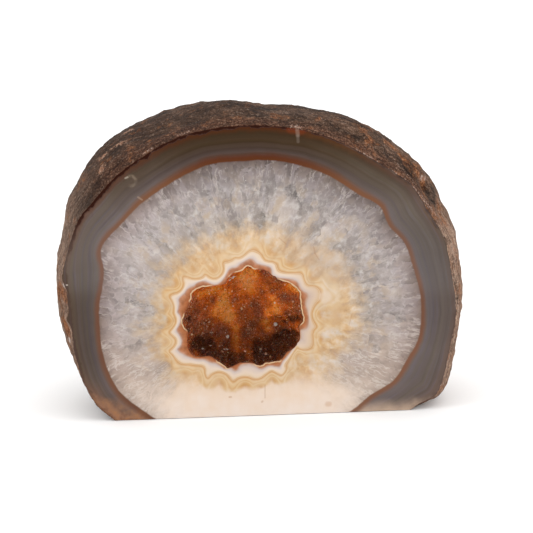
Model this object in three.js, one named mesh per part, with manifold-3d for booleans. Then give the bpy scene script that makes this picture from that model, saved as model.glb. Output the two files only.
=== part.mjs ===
// A freestanding agate: a nodule sawn and polished across its front and sawn flat underneath,
// with a rough rind behind and a natural hollow lined with small quartz crystals.
// Millimetres, +Z up, the polished face looking towards -Y and the sawn base at z 0.
import * as THREE from "three";
import { ParametricGeometry } from "three/addons/geometries/ParametricGeometry.js";
import { mergeVertices } from "three/addons/utils/BufferGeometryUtils.js";
import Module from "manifold-3d";

// The nodule. Depths are measured from the polished face towards the back.
const STONE_DEPTH = 62;
const BELLY_DEPTH = 20; // where the nodule is widest
const STONE_AXIS = { x: -2.5, z: 42 }; // the nodule's middle line, from front to back
const NODULE_HALF = { width: 66, height: 55 };
const BACK_FULLNESS = 2.3; // 2 is a round back, more is squarer

// The sawn face's edge, seen from the front, and how far the belly stands out beyond it.
// Each row is x, z, standoff. The base cut takes the points below z 0 off.
const FACE_EDGE = [
  [-51.5, 1.5, 0.3], [-55, 5, 0.4], [-59, 12, 1.0], [-60.5, 17, 1.8], [-62.5, 27, 2.6],
  [-63.5, 39.5, 3.2], [-64.5, 49, 1.6], [-63, 55.5, 1.2], [-59.5, 65, 3.6], [-54.5, 71, 5.7],
  [-47.5, 78.5, 7.6], [-39, 84.5, 8.5], [-31, 89, 7.4], [-21.5, 92, 6.6], [-9, 93.5, 6.2],
  [3.5, 93, 4.8], [16, 90.5, 6.0], [28.5, 85, 8.4], [38.5, 79, 7.2], [45.5, 74, 7.0],
  [51.5, 65, 8.2], [56.5, 56.5, 8.8], [59, 46, 8.8], [61, 32.5, 6.6], [59, 19, 7.0],
  [57, 9.5, 6.2], [54.5, 4.5, 4.2], [49.5, 2, 3.2], [46.5, 0, 2.8], [35.5, -7, 2.0],
  [19.5, -12, 1.2], [-2.5, -14, 0.6], [-24.5, -12, 0.4], [-40.5, -7, 0.4],
];

// The rind's relief: broad swells, smaller knobs, and single knocks, pits and lumps
const RIND_SWELL = { size: 46, height: 1.5 };
const RIND_KNOB = { size: 17, height: 0.55 };
const RIND_SPOTS = [
  { at: [50.5, 8, 73], radius: 3.6, height: -2.4 },
  { at: [48.5, 9, 78], radius: 4.0, height: 1.0 },
  { at: [57.5, 10, 62], radius: 4.5, height: -0.9 },
  { at: [56.5, 20, 70], radius: 5.0, height: 1.1 },
  { at: [-65, 7, 40], radius: 4.0, height: 0.8 },
  { at: [-64.5, 6, 31], radius: 3.5, height: 0.7 },
  { at: [-57, 26, 74], radius: 8.0, height: -1.6 },
  { at: [28, 34, 90], radius: 9.0, height: -1.8 },
  { at: [-22, 48, 78], radius: 10.0, height: -2.2 },
  { at: [20, 56, 58], radius: 11.0, height: -2.0 },
  { at: [-40, 50, 40], radius: 9.0, height: -2.4 },
  { at: [50, 38, 34], radius: 8.0, height: -2.0 },
  { at: [2, 60, 22], radius: 9.0, height: -1.6 },
];
const RELIEF_FADE = 7; // the relief dies out this near the polished face

// The hollow's rim, seen from the front, and the hollow behind it
const HOLLOW_RIM = [
  [-7, 49], [-4.5, 48], [-1, 47.5], [1.5, 45.5], [4, 44], [7, 43], [9.5, 40.5],
  [10, 37.5], [10.5, 33.5], [11, 31], [9.5, 29], [10, 26], [8.5, 22.5], [6, 20.5],
  [3.5, 18], [-0.5, 17.5], [-3, 16.5], [-6, 17.5], [-9.5, 17.5], [-13.5, 16], [-16, 18],
  [-19.5, 20], [-23.5, 19.5], [-26.5, 21.5], [-27.5, 24], [-27, 28], [-28, 31.5], [-26.5, 35],
  [-25, 38.5], [-24.5, 41], [-22, 42.5], [-17.5, 43], [-14, 44], [-12, 46.5], [-9, 47.5],
];
const HOLLOW_AXIS = { x: -8, z: 31.5 };
const HOLLOW_DEPTH = 17; // at the height of its axis
const HOLLOW_SLOPE = 0.28; // how much deeper the back is for each millimetre lower
const HOLLOW_MOUTH = 3; // the cutting shape reaches this far in front of the face
const HOLLOW_SWELL = { size: 15, height: 1.1 };

// The lining: its thickness, its lobes and pockets, and the shelf on its right-hand side
const CRUST_GAP = 0.3; // between the lining and the stone
const CRUST_THICKNESS = 1.3;
const CRUST_SETBACK = 0.5; // the lining starts this far behind the face
const CRUST_KNOB = { size: 7, height: 0.45 };
const CRUST_LOBES = [
  { at: [-14.5, 33], radius: 6.0, height: 2.0 },
  { at: [1.5, 34.5], radius: 5.5, height: 1.6 },
  { at: [-5.5, 41], radius: 5.0, height: 2.0 },
  { at: [-9.5, 25], radius: 4.0, height: 3.0 },
  { at: [0, 27.5], radius: 3.5, height: 1.4 },
  { at: [-5.5, 33], radius: 3.5, height: -1.2 },
  { at: [5.5, 37.5], radius: 3.5, height: -1.0 },
  { at: [-20, 28], radius: 4.5, height: -1.0 },
];
const SHELF = { height: 4.5, z: 29.4, rise: 0.19, from: -5, to: 2, softness: 1.2 };

// The crystals that stand on the lining
const CRYSTALS = 100;
const CRYSTAL = { radius: 1.4, length: 2.4, sides: 6, lean: 0.3 };
const CRYSTAL_SIZES = { min: 0.7, max: 1.3 };
const CRYSTAL_SUNK = 0.25; // share of a crystal's length that is below the lining's surface
const CRYSTAL_ROWS = { first: 0.14, last: 0.96 }; // where they stand, from rim to back
const CRYSTAL_SPACING = 0.75; // 1 crowds them at the back, 0.5 spreads them to the rim

const FULL_TURN = 2 * Math.PI;
const GOLDEN_SHARE = (Math.sqrt(5) - 1) / 2;
const GOLDEN_ANGLE = FULL_TURN * GOLDEN_SHARE ** 2;

const wasm = await Module();
wasm.setup();

function solidOf(geometry) {
  const bare = geometry.clone();
  bare.deleteAttribute("normal");
  bare.deleteAttribute("uv");
  const merged = mergeVertices(bare, 1e-4);
  return new wasm.Manifold(
    new wasm.Mesh({
      numProp: 3,
      vertProperties: merged.attributes.position.array,
      triVerts: new Uint32Array(merged.index.array),
    }),
  );
}

function geometryOf(solid) {
  const { vertProperties, triVerts } = solid.getMesh();
  const geometry = new THREE.BufferGeometry();
  geometry.setAttribute("position", new THREE.BufferAttribute(vertProperties, 3));
  geometry.setIndex(new THREE.BufferAttribute(triVerts, 1));
  geometry.computeVertexNormals();
  return geometry;
}

// Smooth irregular relief between about -1 and 1: seven plane waves that run many ways
const WAVES = 7;
function swell(point, size, seed) {
  let height = 0;
  for (let i = 0; i < WAVES; i++) {
    const turn = (i + seed) * GOLDEN_ANGLE;
    const rise = ((i * 0.37 + seed * 0.61) % 1) * 2 - 1;
    const flat = Math.sqrt(1 - rise * rise);
    const along =
      point.x * Math.cos(turn) * flat + point.y * Math.sin(turn) * flat + point.z * rise;
    const wavelength = size * (1.25 - 0.09 * i);
    height += Math.sin((FULL_TURN * along) / wavelength + 1.7 * i + seed);
  }
  return height / Math.sqrt(2 * WAVES);
}

// One rounded bump, 1 at its middle and nearly 0 beyond twice its radius
const bump = (distance, radius) => Math.exp(-((distance / radius) ** 2));

function closedCurve(rows) {
  const points = rows.map(([x, z, standoff = 0]) => new THREE.Vector3(x, z, standoff));
  return new THREE.CatmullRomCurve3(points, true, "centripetal");
}

const faceEdge = closedCurve(FACE_EDGE);
const hollowRim = closedCurve(HOLLOW_RIM);

// Moves a point of the rind in or out by the relief.
function roughened(point) {
  const outward = new THREE.Vector3(
    (point.x - STONE_AXIS.x) / NODULE_HALF.width ** 2,
    Math.max(point.y - BELLY_DEPTH, 0) / (STONE_DEPTH - BELLY_DEPTH) ** 2,
    (point.z - STONE_AXIS.z) / NODULE_HALF.height ** 2,
  ).normalize();
  let height =
    RIND_SWELL.height * swell(point, RIND_SWELL.size, 2) +
    RIND_KNOB.height * swell(point, RIND_KNOB.size, 5);
  for (const { at, radius, height: spot } of RIND_SPOTS) {
    height += spot * bump(point.distanceTo(new THREE.Vector3(...at)), radius);
  }
  const fade = THREE.MathUtils.smoothstep(point.y, 0, RELIEF_FADE);
  return point.addScaledVector(outward, height * fade);
}

// The rind's surface: around runs along the face's edge, and back from 0 at that edge to 1
// at the rearmost point.
const BELLY_SHARE = 0.3; // the share of back that lies in front of the belly
function rindPoint(around, back) {
  const edge = faceEdge.getPointAt(around);
  const acrossX = edge.x - STONE_AXIS.x;
  const acrossZ = edge.y - STONE_AXIS.z;
  const standoff = edge.z / Math.hypot(acrossX, acrossZ);
  let depth;
  let spread;
  if (back < BELLY_SHARE) {
    const share = back / BELLY_SHARE;
    depth = BELLY_DEPTH * share;
    spread = 1 + standoff * (1 - (1 - share) ** 2);
  } else {
    const turn = ((back - BELLY_SHARE) / (1 - BELLY_SHARE)) * (Math.PI / 2);
    const power = 2 / BACK_FULLNESS;
    depth = BELLY_DEPTH + (STONE_DEPTH - BELLY_DEPTH) * Math.sin(turn) ** power;
    spread = (1 + standoff) * Math.max(Math.cos(turn), 0) ** power;
  }
  return roughened(
    new THREE.Vector3(STONE_AXIS.x + acrossX * spread, depth, STONE_AXIS.z + acrossZ * spread),
  );
}

// The whole nodule before the base cut, closed by the flat face
const RIND_GRID = { around: 84, rows: 26 };
function nodule() {
  const rows = RIND_GRID.rows + 1;
  const surface = (u, v, target) => {
    const row = Math.round(v * rows);
    if (row === 0) target.set(STONE_AXIS.x, 0, STONE_AXIS.z);
    else target.copy(rindPoint(u % 1, (row - 1) / RIND_GRID.rows));
  };
  return solidOf(new ParametricGeometry(surface, RIND_GRID.around, rows));
}

// How far the lining stands out of the hollow's back at a place seen from the front
function liningRelief(point) {
  let height = CRUST_KNOB.height * swell(point, CRUST_KNOB.size, 4);
  for (const { at, radius, height: lobe } of CRUST_LOBES) {
    height += lobe * bump(Math.hypot(point.x - at[0], point.z - at[1]), radius);
  }
  const { smoothstep } = THREE.MathUtils;
  const overShelf = point.z - (SHELF.z + SHELF.rise * point.x);
  const above = smoothstep(overShelf, -SHELF.softness, SHELF.softness);
  return height + SHELF.height * above * smoothstep(point.x, SHELF.from, SHELF.to);
}

// The hollow's wall, moved inwards by inset: inward runs from 0 at the rim to 1 at the back.
function hollowPoint(around, inward, inset, lined) {
  const rim = hollowRim.getPointAt(around);
  const acrossX = rim.x - HOLLOW_AXIS.x;
  const acrossZ = rim.y - HOLLOW_AXIS.z;
  const turn = Math.min(inward, 1) * (Math.PI / 2);
  const away = Math.sin(turn);
  const spread =
    Math.max(Math.cos(turn), 0) ** 0.62 * (1 - inset / Math.hypot(acrossX, acrossZ));
  const depth = HOLLOW_DEPTH * away ** 0.9;
  const point = new THREE.Vector3(
    HOLLOW_AXIS.x + acrossX * spread,
    depth,
    HOLLOW_AXIS.z + acrossZ * spread,
  );
  const deeper = 1 + (HOLLOW_SLOPE * (HOLLOW_AXIS.z - point.z)) / HOLLOW_DEPTH;
  const bulge = HOLLOW_SWELL.height * swell(point, HOLLOW_SWELL.size, 3) * away;
  point.y = (depth + bulge) * deeper - inset * away;
  if (lined) point.y -= Math.max(liningRelief(point), 0) * away;
  return point;
}

const HOLLOW_GRID = { around: 42, rows: 9 };
const LINING_GRID = { around: 44, rows: 13 };
function hollowShape({ around, rows }, inset, lined) {
  const mouthRows = 2;
  const surface = (u, v, target) => {
    const row = Math.round(v * (rows + mouthRows));
    target.copy(hollowPoint(u % 1, Math.max(row - mouthRows, 0) / rows, inset, lined));
    if (row < mouthRows) target.y = -HOLLOW_MOUTH;
    if (row === 0) target.set(HOLLOW_AXIS.x, -HOLLOW_MOUTH, HOLLOW_AXIS.z);
  };
  return solidOf(new ParametricGeometry(surface, around, rows + mouthRows));
}

function stone() {
  const underBase = new THREE.BoxGeometry(300, 300, 100).translate(0, 0, -50);
  return nodule().subtract(solidOf(underBase)).subtract(hollowShape(HOLLOW_GRID, 0, false));
}

// One six-sided crystal that stands on the lining and leans a little from its wall
const LINING_INSET = CRUST_GAP + CRUST_THICKNESS;
function crystal(index) {
  const step = 0.01;
  const around = (index * GOLDEN_SHARE) % 1;
  const share = ((index + 0.5) / CRYSTALS) ** CRYSTAL_SPACING;
  const inward = CRYSTAL_ROWS.last - (CRYSTAL_ROWS.last - CRYSTAL_ROWS.first) * share;
  const root = hollowPoint(around, inward, LINING_INSET, true);
  const beside = hollowPoint((around + step) % 1, inward, LINING_INSET, true);
  const deeper = hollowPoint(around, inward + step, LINING_INSET, true);
  const outOfWall = beside.sub(root).cross(deeper.sub(root)).normalize();
  const lean = new THREE.Vector3(
    Math.sin(index * 2.4),
    Math.sin(index * 3.7),
    Math.sin(index * 5.1),
  );
  const upright = new THREE.Vector3(0, 1, 0);
  const direction = outOfWall.negate().addScaledVector(lean, CRYSTAL.lean).normalize();
  const size = THREE.MathUtils.lerp(
    CRYSTAL_SIZES.min,
    CRYSTAL_SIZES.max,
    Math.abs(Math.sin(index * 1.9)),
  );
  const length = CRYSTAL.length * size;
  const point = new THREE.ConeGeometry(CRYSTAL.radius * size, length, CRYSTAL.sides);
  point.translate(0, length * (0.5 - CRYSTAL_SUNK), 0);
  point.applyQuaternion(new THREE.Quaternion().setFromUnitVectors(upright, direction));
  point.translate(root.x, root.y, root.z);
  return solidOf(point);
}

function crust() {
  const beforeCrust = new THREE.BoxGeometry(200, 20, 200).translate(0, CRUST_SETBACK - 10, 0);
  const room = hollowShape(HOLLOW_GRID, CRUST_GAP, false).subtract(solidOf(beforeCrust));
  let lining = room.subtract(hollowShape(LINING_GRID, LINING_INSET, true));
  for (let i = 0; i < CRYSTALS; i++) {
    lining = lining.add(crystal(i));
  }
  return lining.intersect(room);
}

function piece(name, solid, look) {
  const mesh = new THREE.Mesh(geometryOf(solid), new THREE.MeshStandardMaterial(look));
  mesh.name = name;
  return mesh;
}

const agateStone = piece("agate_stone", stone(), {
  color: 0x6b5546,
  roughness: 0.6,
  metalness: 0,
});
const crystalCrust = piece("crystal_crust", crust(), {
  color: 0x8e4a1e,
  roughness: 0.35,
  metalness: 0,
});

// The origin is the middle of the stone's box, at the height of its base.
const agate = new THREE.Group();
agate.add(agateStone, crystalCrust);
const box = new THREE.Box3().setFromObject(agateStone);
agate.position.set(-(box.min.x + box.max.x) / 2, -(box.min.y + box.max.y) / 2, 0);

export default agate;
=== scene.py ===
# %% [markdown]
# # Half of a banded agate, standing on its cut base
#
# The real piece is one stone. A nodule was sawn through the middle and the cut was
# polished, then a slice was sawn off the bottom so that it stands. Inside lie a
# skin of banded grey chalcedony, a thin rust line, a wide ring of grey quartz,
# wavy cream bands, and a small hollow that is lined with rust-stained crystals.
#
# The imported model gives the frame: where the stone stands and how big it is.
# Two pieces are built here in its place, one for the stone and one for the lining.

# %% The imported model
import math
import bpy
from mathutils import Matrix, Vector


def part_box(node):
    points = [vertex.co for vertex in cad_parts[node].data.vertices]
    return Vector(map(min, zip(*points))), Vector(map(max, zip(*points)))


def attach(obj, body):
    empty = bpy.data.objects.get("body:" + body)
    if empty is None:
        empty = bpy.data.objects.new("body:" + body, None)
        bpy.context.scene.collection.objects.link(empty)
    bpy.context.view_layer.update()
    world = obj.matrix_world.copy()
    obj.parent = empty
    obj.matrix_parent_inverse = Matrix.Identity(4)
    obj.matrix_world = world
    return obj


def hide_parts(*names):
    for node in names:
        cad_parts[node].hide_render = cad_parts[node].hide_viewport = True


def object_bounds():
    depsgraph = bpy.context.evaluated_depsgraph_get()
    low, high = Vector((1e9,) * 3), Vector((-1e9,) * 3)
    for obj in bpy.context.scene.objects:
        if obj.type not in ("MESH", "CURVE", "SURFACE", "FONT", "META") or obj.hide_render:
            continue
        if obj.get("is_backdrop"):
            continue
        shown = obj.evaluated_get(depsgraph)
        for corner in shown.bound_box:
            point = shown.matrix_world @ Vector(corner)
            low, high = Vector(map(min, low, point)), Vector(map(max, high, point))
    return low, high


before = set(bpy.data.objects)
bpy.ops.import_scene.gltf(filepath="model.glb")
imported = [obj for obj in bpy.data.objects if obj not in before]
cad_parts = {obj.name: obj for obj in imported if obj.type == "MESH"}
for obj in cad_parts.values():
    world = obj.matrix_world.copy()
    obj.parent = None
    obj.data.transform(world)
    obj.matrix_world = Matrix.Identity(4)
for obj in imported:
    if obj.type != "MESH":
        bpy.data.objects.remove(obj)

from types import SimpleNamespace

import bmesh
import bpy
import numpy as np
from mathutils import Vector, geometry, noise

cad_low, cad_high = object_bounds()
cad_size = [round(v * 1000, 1) for v in cad_high - cad_low]
print("nodes:", sorted(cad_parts), "box in mm:", cad_size)

# %% [markdown]
# ## Where the camera stands
#
# The picture looks at the cut from a little above and a little to the left, from
# about half a metre away. A long lens keeps the round outline round. The numbers
# were found by laying the model's outline over the picture until both agreed.

# %% The camera
AIM = Vector((0.00304, 0.0, 0.04263))
TURN = math.radians(-7)
RISE = math.radians(11)
DISTANCE = 0.475
towards_camera = Vector((
    math.sin(TURN) * math.cos(RISE), -math.cos(TURN) * math.cos(RISE), math.sin(RISE)
))

camera = bpy.data.objects.new("camera", bpy.data.cameras.new("camera"))
bpy.context.scene.collection.objects.link(camera)
bpy.context.scene.camera = camera
camera.location = AIM + towards_camera * DISTANCE
camera.rotation_mode = "QUATERNION"
camera.rotation_quaternion = (-towards_camera).to_track_quat("-Z", "Y")
camera.data.sensor_width = 36
camera.data.lens = 94.56
camera.data.clip_start = 0.01
camera.data.clip_end = 300
print("camera at", [round(v, 3) for v in camera.location])

# %% [markdown]
# ## A small kit for finishes
#
# Every finish is a recipe of nodes. Writing each node out takes four or five
# lines, so this kit makes one node per call and hands back what comes out of it.
# Lengths inside a finish are millimetres, counted from the middle of the face's
# lower edge, because that is how a stone is measured on a bench.

# %% Colours and the bench's origin
def paint(code):
    """A colour written as six hexadecimal digits, as Blender's linear numbers."""
    parts = [int(code[i : i + 2], 16) / 255 for i in (0, 2, 4)]
    return [c / 12.92 if c <= 0.04045 else ((c + 0.055) / 1.055) ** 2.4 for c in parts] + [1.0]


FACE_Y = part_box("agate_stone")[0].y
ORIGIN = Vector((0.0000886, FACE_Y, 0.0))
PER_METRE = 1000
print("bench millimetres are counted from", [round(v, 5) for v in ORIGIN], "m")


# %% A material and its nodes
class Nodes:
    """One procedural material. Each call adds a node and gives back its result."""

    def __init__(self, name):
        self.material = bpy.data.materials.new(name)
        self.material.use_nodes = True
        self.tree = self.material.node_tree
        self.tree.nodes.clear()
        self.shader = self.tree.nodes.new("ShaderNodeBsdfPrincipled")
        output = self.tree.nodes.new("ShaderNodeOutputMaterial")
        self.tree.links.new(self.shader.outputs[0], output.inputs[0])

    def feed(self, socket, value):
        if isinstance(value, bpy.types.NodeSocket):
            self.tree.links.new(value, socket)
        else:
            socket.default_value = value

    def wear(self, looks):
        """Sets the shader's sockets by name, each to a number or to what a node gives."""
        for socket, value in looks.items():
            self.feed(self.shader.inputs[socket], value)

    def node(self, kind, feeds, result=0, **settings):
        node = self.tree.nodes.new("ShaderNode" + kind)
        for name, value in settings.items():
            setattr(node, name, value)
        for socket, value in feeds.items():
            self.feed(node.inputs[socket], value)
        return node.outputs[result]


def calls(kit):
    return ", ".join(name for name in vars(kit) if name[0] != "_")


print("basic calls:", calls(Nodes))


# %% Numbers
class Numbers(Nodes):
    """Arithmetic in nodes. Each value may be a number or what another node gives."""

    def math(self, operation, *values):
        return self.node("Math", dict(enumerate(values)), operation=operation)

    def total(self, *values):
        value = values[0]
        for other in values[1:]:
            value = self.math("ADD", value, other)
        return value

    def product(self, *values):
        value = values[0]
        for other in values[1:]:
            value = self.math("MULTIPLY", value, other)
        return value

    def lift(self, value, factor, base):
        """value times factor, plus base."""
        return self.math("MULTIPLY_ADD", value, factor, base)

    def less(self, value, other):
        return self.math("SUBTRACT", value, other)

    def most(self, value, other):
        return self.math("MAXIMUM", value, other)

    def gap(self, value, other):
        """How far apart two numbers are."""
        return self.math("ABSOLUTE", self.less(value, other))

    def between(self, start, *others):
        """A distance as a share of it and the others: 0 on one line, 1 on the next."""
        return self.math("DIVIDE", start, self.total(start, *others))

    def ease(self, value, low, high, start=0.0, end=1.0):
        """start up to low, end beyond high, and a soft step between them."""
        feeds = {"Value": value, "From Min": low, "From Max": high, "To Min": start, "To Max": end}
        return self.node("MapRange", feeds, interpolation_type="SMOOTHSTEP")


print("calls for numbers:", calls(Numbers))


# %% Places and noise
class Places(Numbers):
    """Points, what is measured at them, and noise. self.place is the point itself."""

    def __init__(self, name):
        super().__init__(name)
        here = self.node("TexCoord", {}, 3)
        shift = tuple(-PER_METRE * v for v in ORIGIN)
        self.place = self.vector("MULTIPLY_ADD", here, (PER_METRE,) * 3, shift)

    def vector(self, operation, *values, result=0):
        return self.node("VectorMath", dict(enumerate(values)), result, operation=operation)

    def scaled(self, vector, factor):
        return self.node("VectorMath", {0: vector, "Scale": factor}, operation="SCALE")

    def away(self, point):
        """How far each place on the piece is from this point."""
        return self.vector("DISTANCE", self.place, point, result=1)

    def part(self, colour, channel):
        """One of a colour's three numbers, or one of a point's three coordinates."""
        kind = "SeparateColor" if colour.type == "RGBA" else "SeparateXYZ"
        return self.node(kind, {0: colour}, channel)

    def measure(self, name):
        """A number that the mesh carries at each of its points."""
        return self.node("Attribute", {}, 2, attribute_name=name)

    def noise(self, size, detail=3.0, roughness=0.5, at=None, result=0):
        """Soft random numbers near 0.5, in patches of about this size in millimetres."""
        where = self.place if at is None else at
        feeds = {"Vector": where, "Scale": 1 / size, "Detail": detail, "Roughness": roughness}
        return self.node("TexNoise", feeds, result)

    def jitter(self, value, amount, size, detail=3.0, roughness=0.5):
        """The value, pushed up and down by noise."""
        return self.lift(self.noise(size, detail, roughness), amount, self.less(value, amount / 2))

    def cells(self, point, size, feature="F1"):
        """Crystal-like cells: how far the nearest seed is, the cell's own colour, its seed."""
        node = self.node("TexVoronoi", {"Vector": point, "Scale": 1 / size}, feature=feature).node
        return node.outputs[0], node.outputs[1], node.outputs[2]


print("calls for places:", calls(Places))


# %% Colours in nodes
class Finish(Places):
    """The whole kit: colours are mixed, laid over each other and read from ramps."""

    def mix(self, share, first, second, how="MIX"):
        feeds = {0: share, 6: first, 7: second}
        return self.node("Mix", feeds, 2, data_type="RGBA", blend_type=how)

    def over(self, under, colour, *shares):
        """A colour laid over another, as strongly as the product of the shares says."""
        colour = paint(colour) if isinstance(colour, str) else colour
        return self.mix(self.product(*shares), under, colour)

    def tinted(self, colour, *tones):
        """The colour times one number near 1, or times one each for red, green and blue."""
        tones = dict(enumerate(tones * 3 if len(tones) == 1 else tones))
        return self.mix(1.0, colour, self.node("CombineColor", tones), "MULTIPLY")

    def ramp(self, value, stops):
        """Colours along a line: stops are (position, six hexadecimal digits)."""
        node = self.tree.nodes.new("ShaderNodeValToRGB")
        self.feed(node.inputs[0], value)
        for i, (position, code) in enumerate(stops):
            new = node.color_ramp.elements.new
            stop = node.color_ramp.elements[i] if i < 2 else new(position)
            stop.position = position
            stop.color = paint(code)
        return node.outputs[0]

    def streak(self, start, end, width):
        """1 along a short line on the face, fading out over its width. Points are (x, z)."""
        along = (end[0] - start[0], 0, end[1] - start[1])
        square = along[0] ** 2 + along[2] ** 2
        step = self.vector("SUBTRACT", self.place, (start[0], 0, start[1]))
        share = self.vector("DOT_PRODUCT", step, tuple(v / square for v in along), result=1)
        share = self.node("Clamp", {0: share})
        away = self.vector("DISTANCE", step, self.scaled(along, share), result=1)
        return self.ease(away, width * 0.3, width, 1.0, 0.0)


print("calls for colours:", calls(Finish))

# %% [markdown]
# ## The lines that the bands follow
#
# A banded agate fills its bubble from the outside in, so every band is a line that runs beside
# another. Six closed lines say where the main ones lie: the sawn edge, the inner side of the rust
# line, the outer limit of the cream, the white band, the clear rust layer and the hollow's rim.
# They are given in millimetres, and a smooth curve runs through them.

# %% Six closed lines on the face
SAWN_EDGE = [  # x, z, how far the rind stands out behind the edge
    (-51.5, 1.5, 0.3), (-55, 5, 0.4), (-59, 12, 1.0), (-60.5, 17, 1.8), (-62.5, 27, 2.6),
    (-63.5, 39.5, 3.2), (-64.5, 49, 1.6), (-63, 55.5, 1.2), (-59.5, 65, 3.6), (-54.5, 71, 5.7),
    (-47.5, 78.5, 7.6), (-39, 84.5, 8.5), (-31, 89, 7.4), (-21.5, 92, 6.6), (-9, 93.5, 6.2),
    (3.5, 93, 4.8), (16, 90.5, 6.0), (28.5, 85, 8.4), (38.5, 79, 7.2), (45.5, 74, 7.0),
    (51.5, 65, 8.2), (56.5, 56.5, 8.8), (59, 46, 8.8), (61, 32.5, 6.6), (59, 19, 7.0),
    (57, 9.5, 6.2), (54.5, 4.5, 4.2), (49.5, 2, 3.2), (46.5, 0, 2.8), (35.5, -7, 2.0),
    (19.5, -12, 1.2), (-2.5, -14, 0.6), (-24.5, -12, 0.4), (-40.5, -7, 0.4),
]
RUST_LINE = [
    (-36.5, -0.1), (-41, 3.1), (-45.3, 6.6), (-48.4, 10), (-51.6, 16.7), (-53.3, 23.3),
    (-53.8, 29.7), (-53.8, 37.7), (-52.5, 45), (-52.2, 49.5), (-53, 54.6), (-51.2, 58.4),
    (-46.7, 63), (-40.7, 69.2), (-34.5, 73.7), (-26.7, 78.3), (-18.6, 81.6), (-9.2, 82.4),
    (0.2, 82.6), (9.6, 80.9), (19.2, 77.3), (28.8, 71.2), (35.3, 67.5), (38.6, 60.9), (43.6, 55.4),
    (46.8, 46.5), (48.8, 39.9), (49.6, 31.6), (48.6, 23.4), (45, 16.8), (40.9, 10.2), (33.3, 5.4),
    (26.7, 0.1), (17, -4.5), (6, -7), (-5, -8), (-16, -7), (-27, -4.5),
]
CREAM_EDGE = [
    (-36.3, 32.5), (-35.6, 38.9), (-34.6, 43.7), (-30.8, 50.9), (-25.1, 55.3), (-17.2, 57.7),
    (-9.3, 61.3), (0.2, 60.5), (9.7, 58.4), (19.4, 53.7), (26.6, 45.4), (28.6, 37.2), (29.4, 27.3),
    (24.6, 20.8), (19.7, 16), (20, 9), (25, 3), (27, -7), (-2, -7.6), (-30, -6), (-31, 4),
    (-30, 11), (-33, 17), (-37, 24),
]
HOLLOW_RIM = [
    (-7, 49), (-4.5, 48), (-1, 47.5), (1.5, 45.5), (4, 44), (7, 43), (9.5, 40.5), (10, 37.5),
    (10.5, 33.5), (11, 31), (9.5, 29), (10, 26), (8.5, 22.5), (6, 20.5), (3.5, 18), (-0.5, 17.5),
    (-3, 16.5), (-6, 17.5), (-9.5, 17.5), (-13.5, 16), (-16, 18), (-19.5, 20), (-23, 20),
    (-25.3, 21.5), (-26.2, 24), (-26.1, 28), (-27.8, 31.5), (-26.5, 35), (-25, 38.5), (-24.5, 41),
    (-22, 42.5), (-17.5, 43), (-14, 44), (-12, 46.5), (-9, 47.5),
]
WHITE_EDGE = [  # outer side of the white band round the hollow, with all its scallops
    (-31.4, 28.3), (-30.8, 29.3), (-30.1, 30.3), (-29.6, 31.3), (-29.5, 32.4), (-29.8, 33.5),
    (-30.1, 34.6), (-30.1, 36), (-30.3, 37.4), (-30.8, 38.7), (-31.1, 39.8), (-30.2, 40.4),
    (-29, 40.8), (-27.9, 41.6), (-27.1, 42.8), (-26.9, 44), (-27.1, 45), (-27, 45.7), (-26, 45.6),
    (-24.8, 45.2), (-23.4, 45), (-22, 45.1), (-20.9, 45.6), (-20.2, 46.2), (-19.3, 45.5), (-18, 45),
    (-16.7, 45.1), (-15.5, 45.8), (-14.6, 46.8), (-14.2, 48), (-14.2, 49.2), (-14.2, 50),
    (-13, 50.2), (-11.8, 50.7), (-10.8, 51.4), (-9.6, 51.4), (-8.4, 51.9), (-7.2, 52.8), (-6, 53.6),
    (-5, 53.6), (-4, 53.2), (-3, 52.5), (-2.3, 51.4), (-1.5, 50.5), (-0.3, 50.1), (0.9, 49.9),
    (1.8, 49.3), (2.1, 48.2), (2.7, 47.2), (3.8, 46.6), (5.5, 46.3), (7.3, 46.2), (9, 46.1),
    (10.3, 45.7), (10.7, 44.6), (11.2, 43.3), (12, 42.2), (13.3, 41.9), (14.5, 41.7), (15.3, 41),
    (15.8, 40), (15.9, 38.9), (15.6, 37.8), (14.9, 36.8), (14.1, 35.6), (13.5, 34.2), (13.3, 32.8),
    (13.5, 31.4), (14.1, 30), (14.6, 28.7), (13.9, 27.8), (13.5, 26.5), (13.7, 25), (13.7, 23.5),
    (13.1, 22.4), (12, 21.7), (10.8, 21.6), (9.7, 22), (8.9, 22.5), (8, 21.1), (7, 19.6), (6, 18.2),
    (5.2, 17.2), (4.9, 16.2), (5.2, 15.2), (4.8, 14.2), (4, 13.4), (3, 13.7), (2, 14.3), (1, 14.8),
    (0, 14.6), (-1, 13.9), (-2, 13.2), (-3, 12.6), (-4, 12.3), (-5, 12.4), (-6.3, 12.9),
    (-7.7, 13.2), (-9.2, 13.1), (-10.6, 12.6), (-11.7, 12.1), (-12.4, 12.8), (-13.3, 13.9),
    (-14.6, 14.8), (-16.2, 15.2), (-17.7, 14.9), (-19, 14.1), (-19.9, 13.3), (-20.4, 14.6),
    (-20.4, 15.9), (-20.9, 16.9), (-22, 17.4), (-23.5, 17.6), (-25.2, 17.9), (-26.8, 18),
    (-28.2, 18.3), (-29.2, 19.1), (-30, 20), (-30.8, 21.1), (-31.7, 22.1), (-30.9, 22.8),
    (-30, 23.8), (-29.5, 25), (-29.7, 26.2), (-30.5, 27.2),
]
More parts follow.
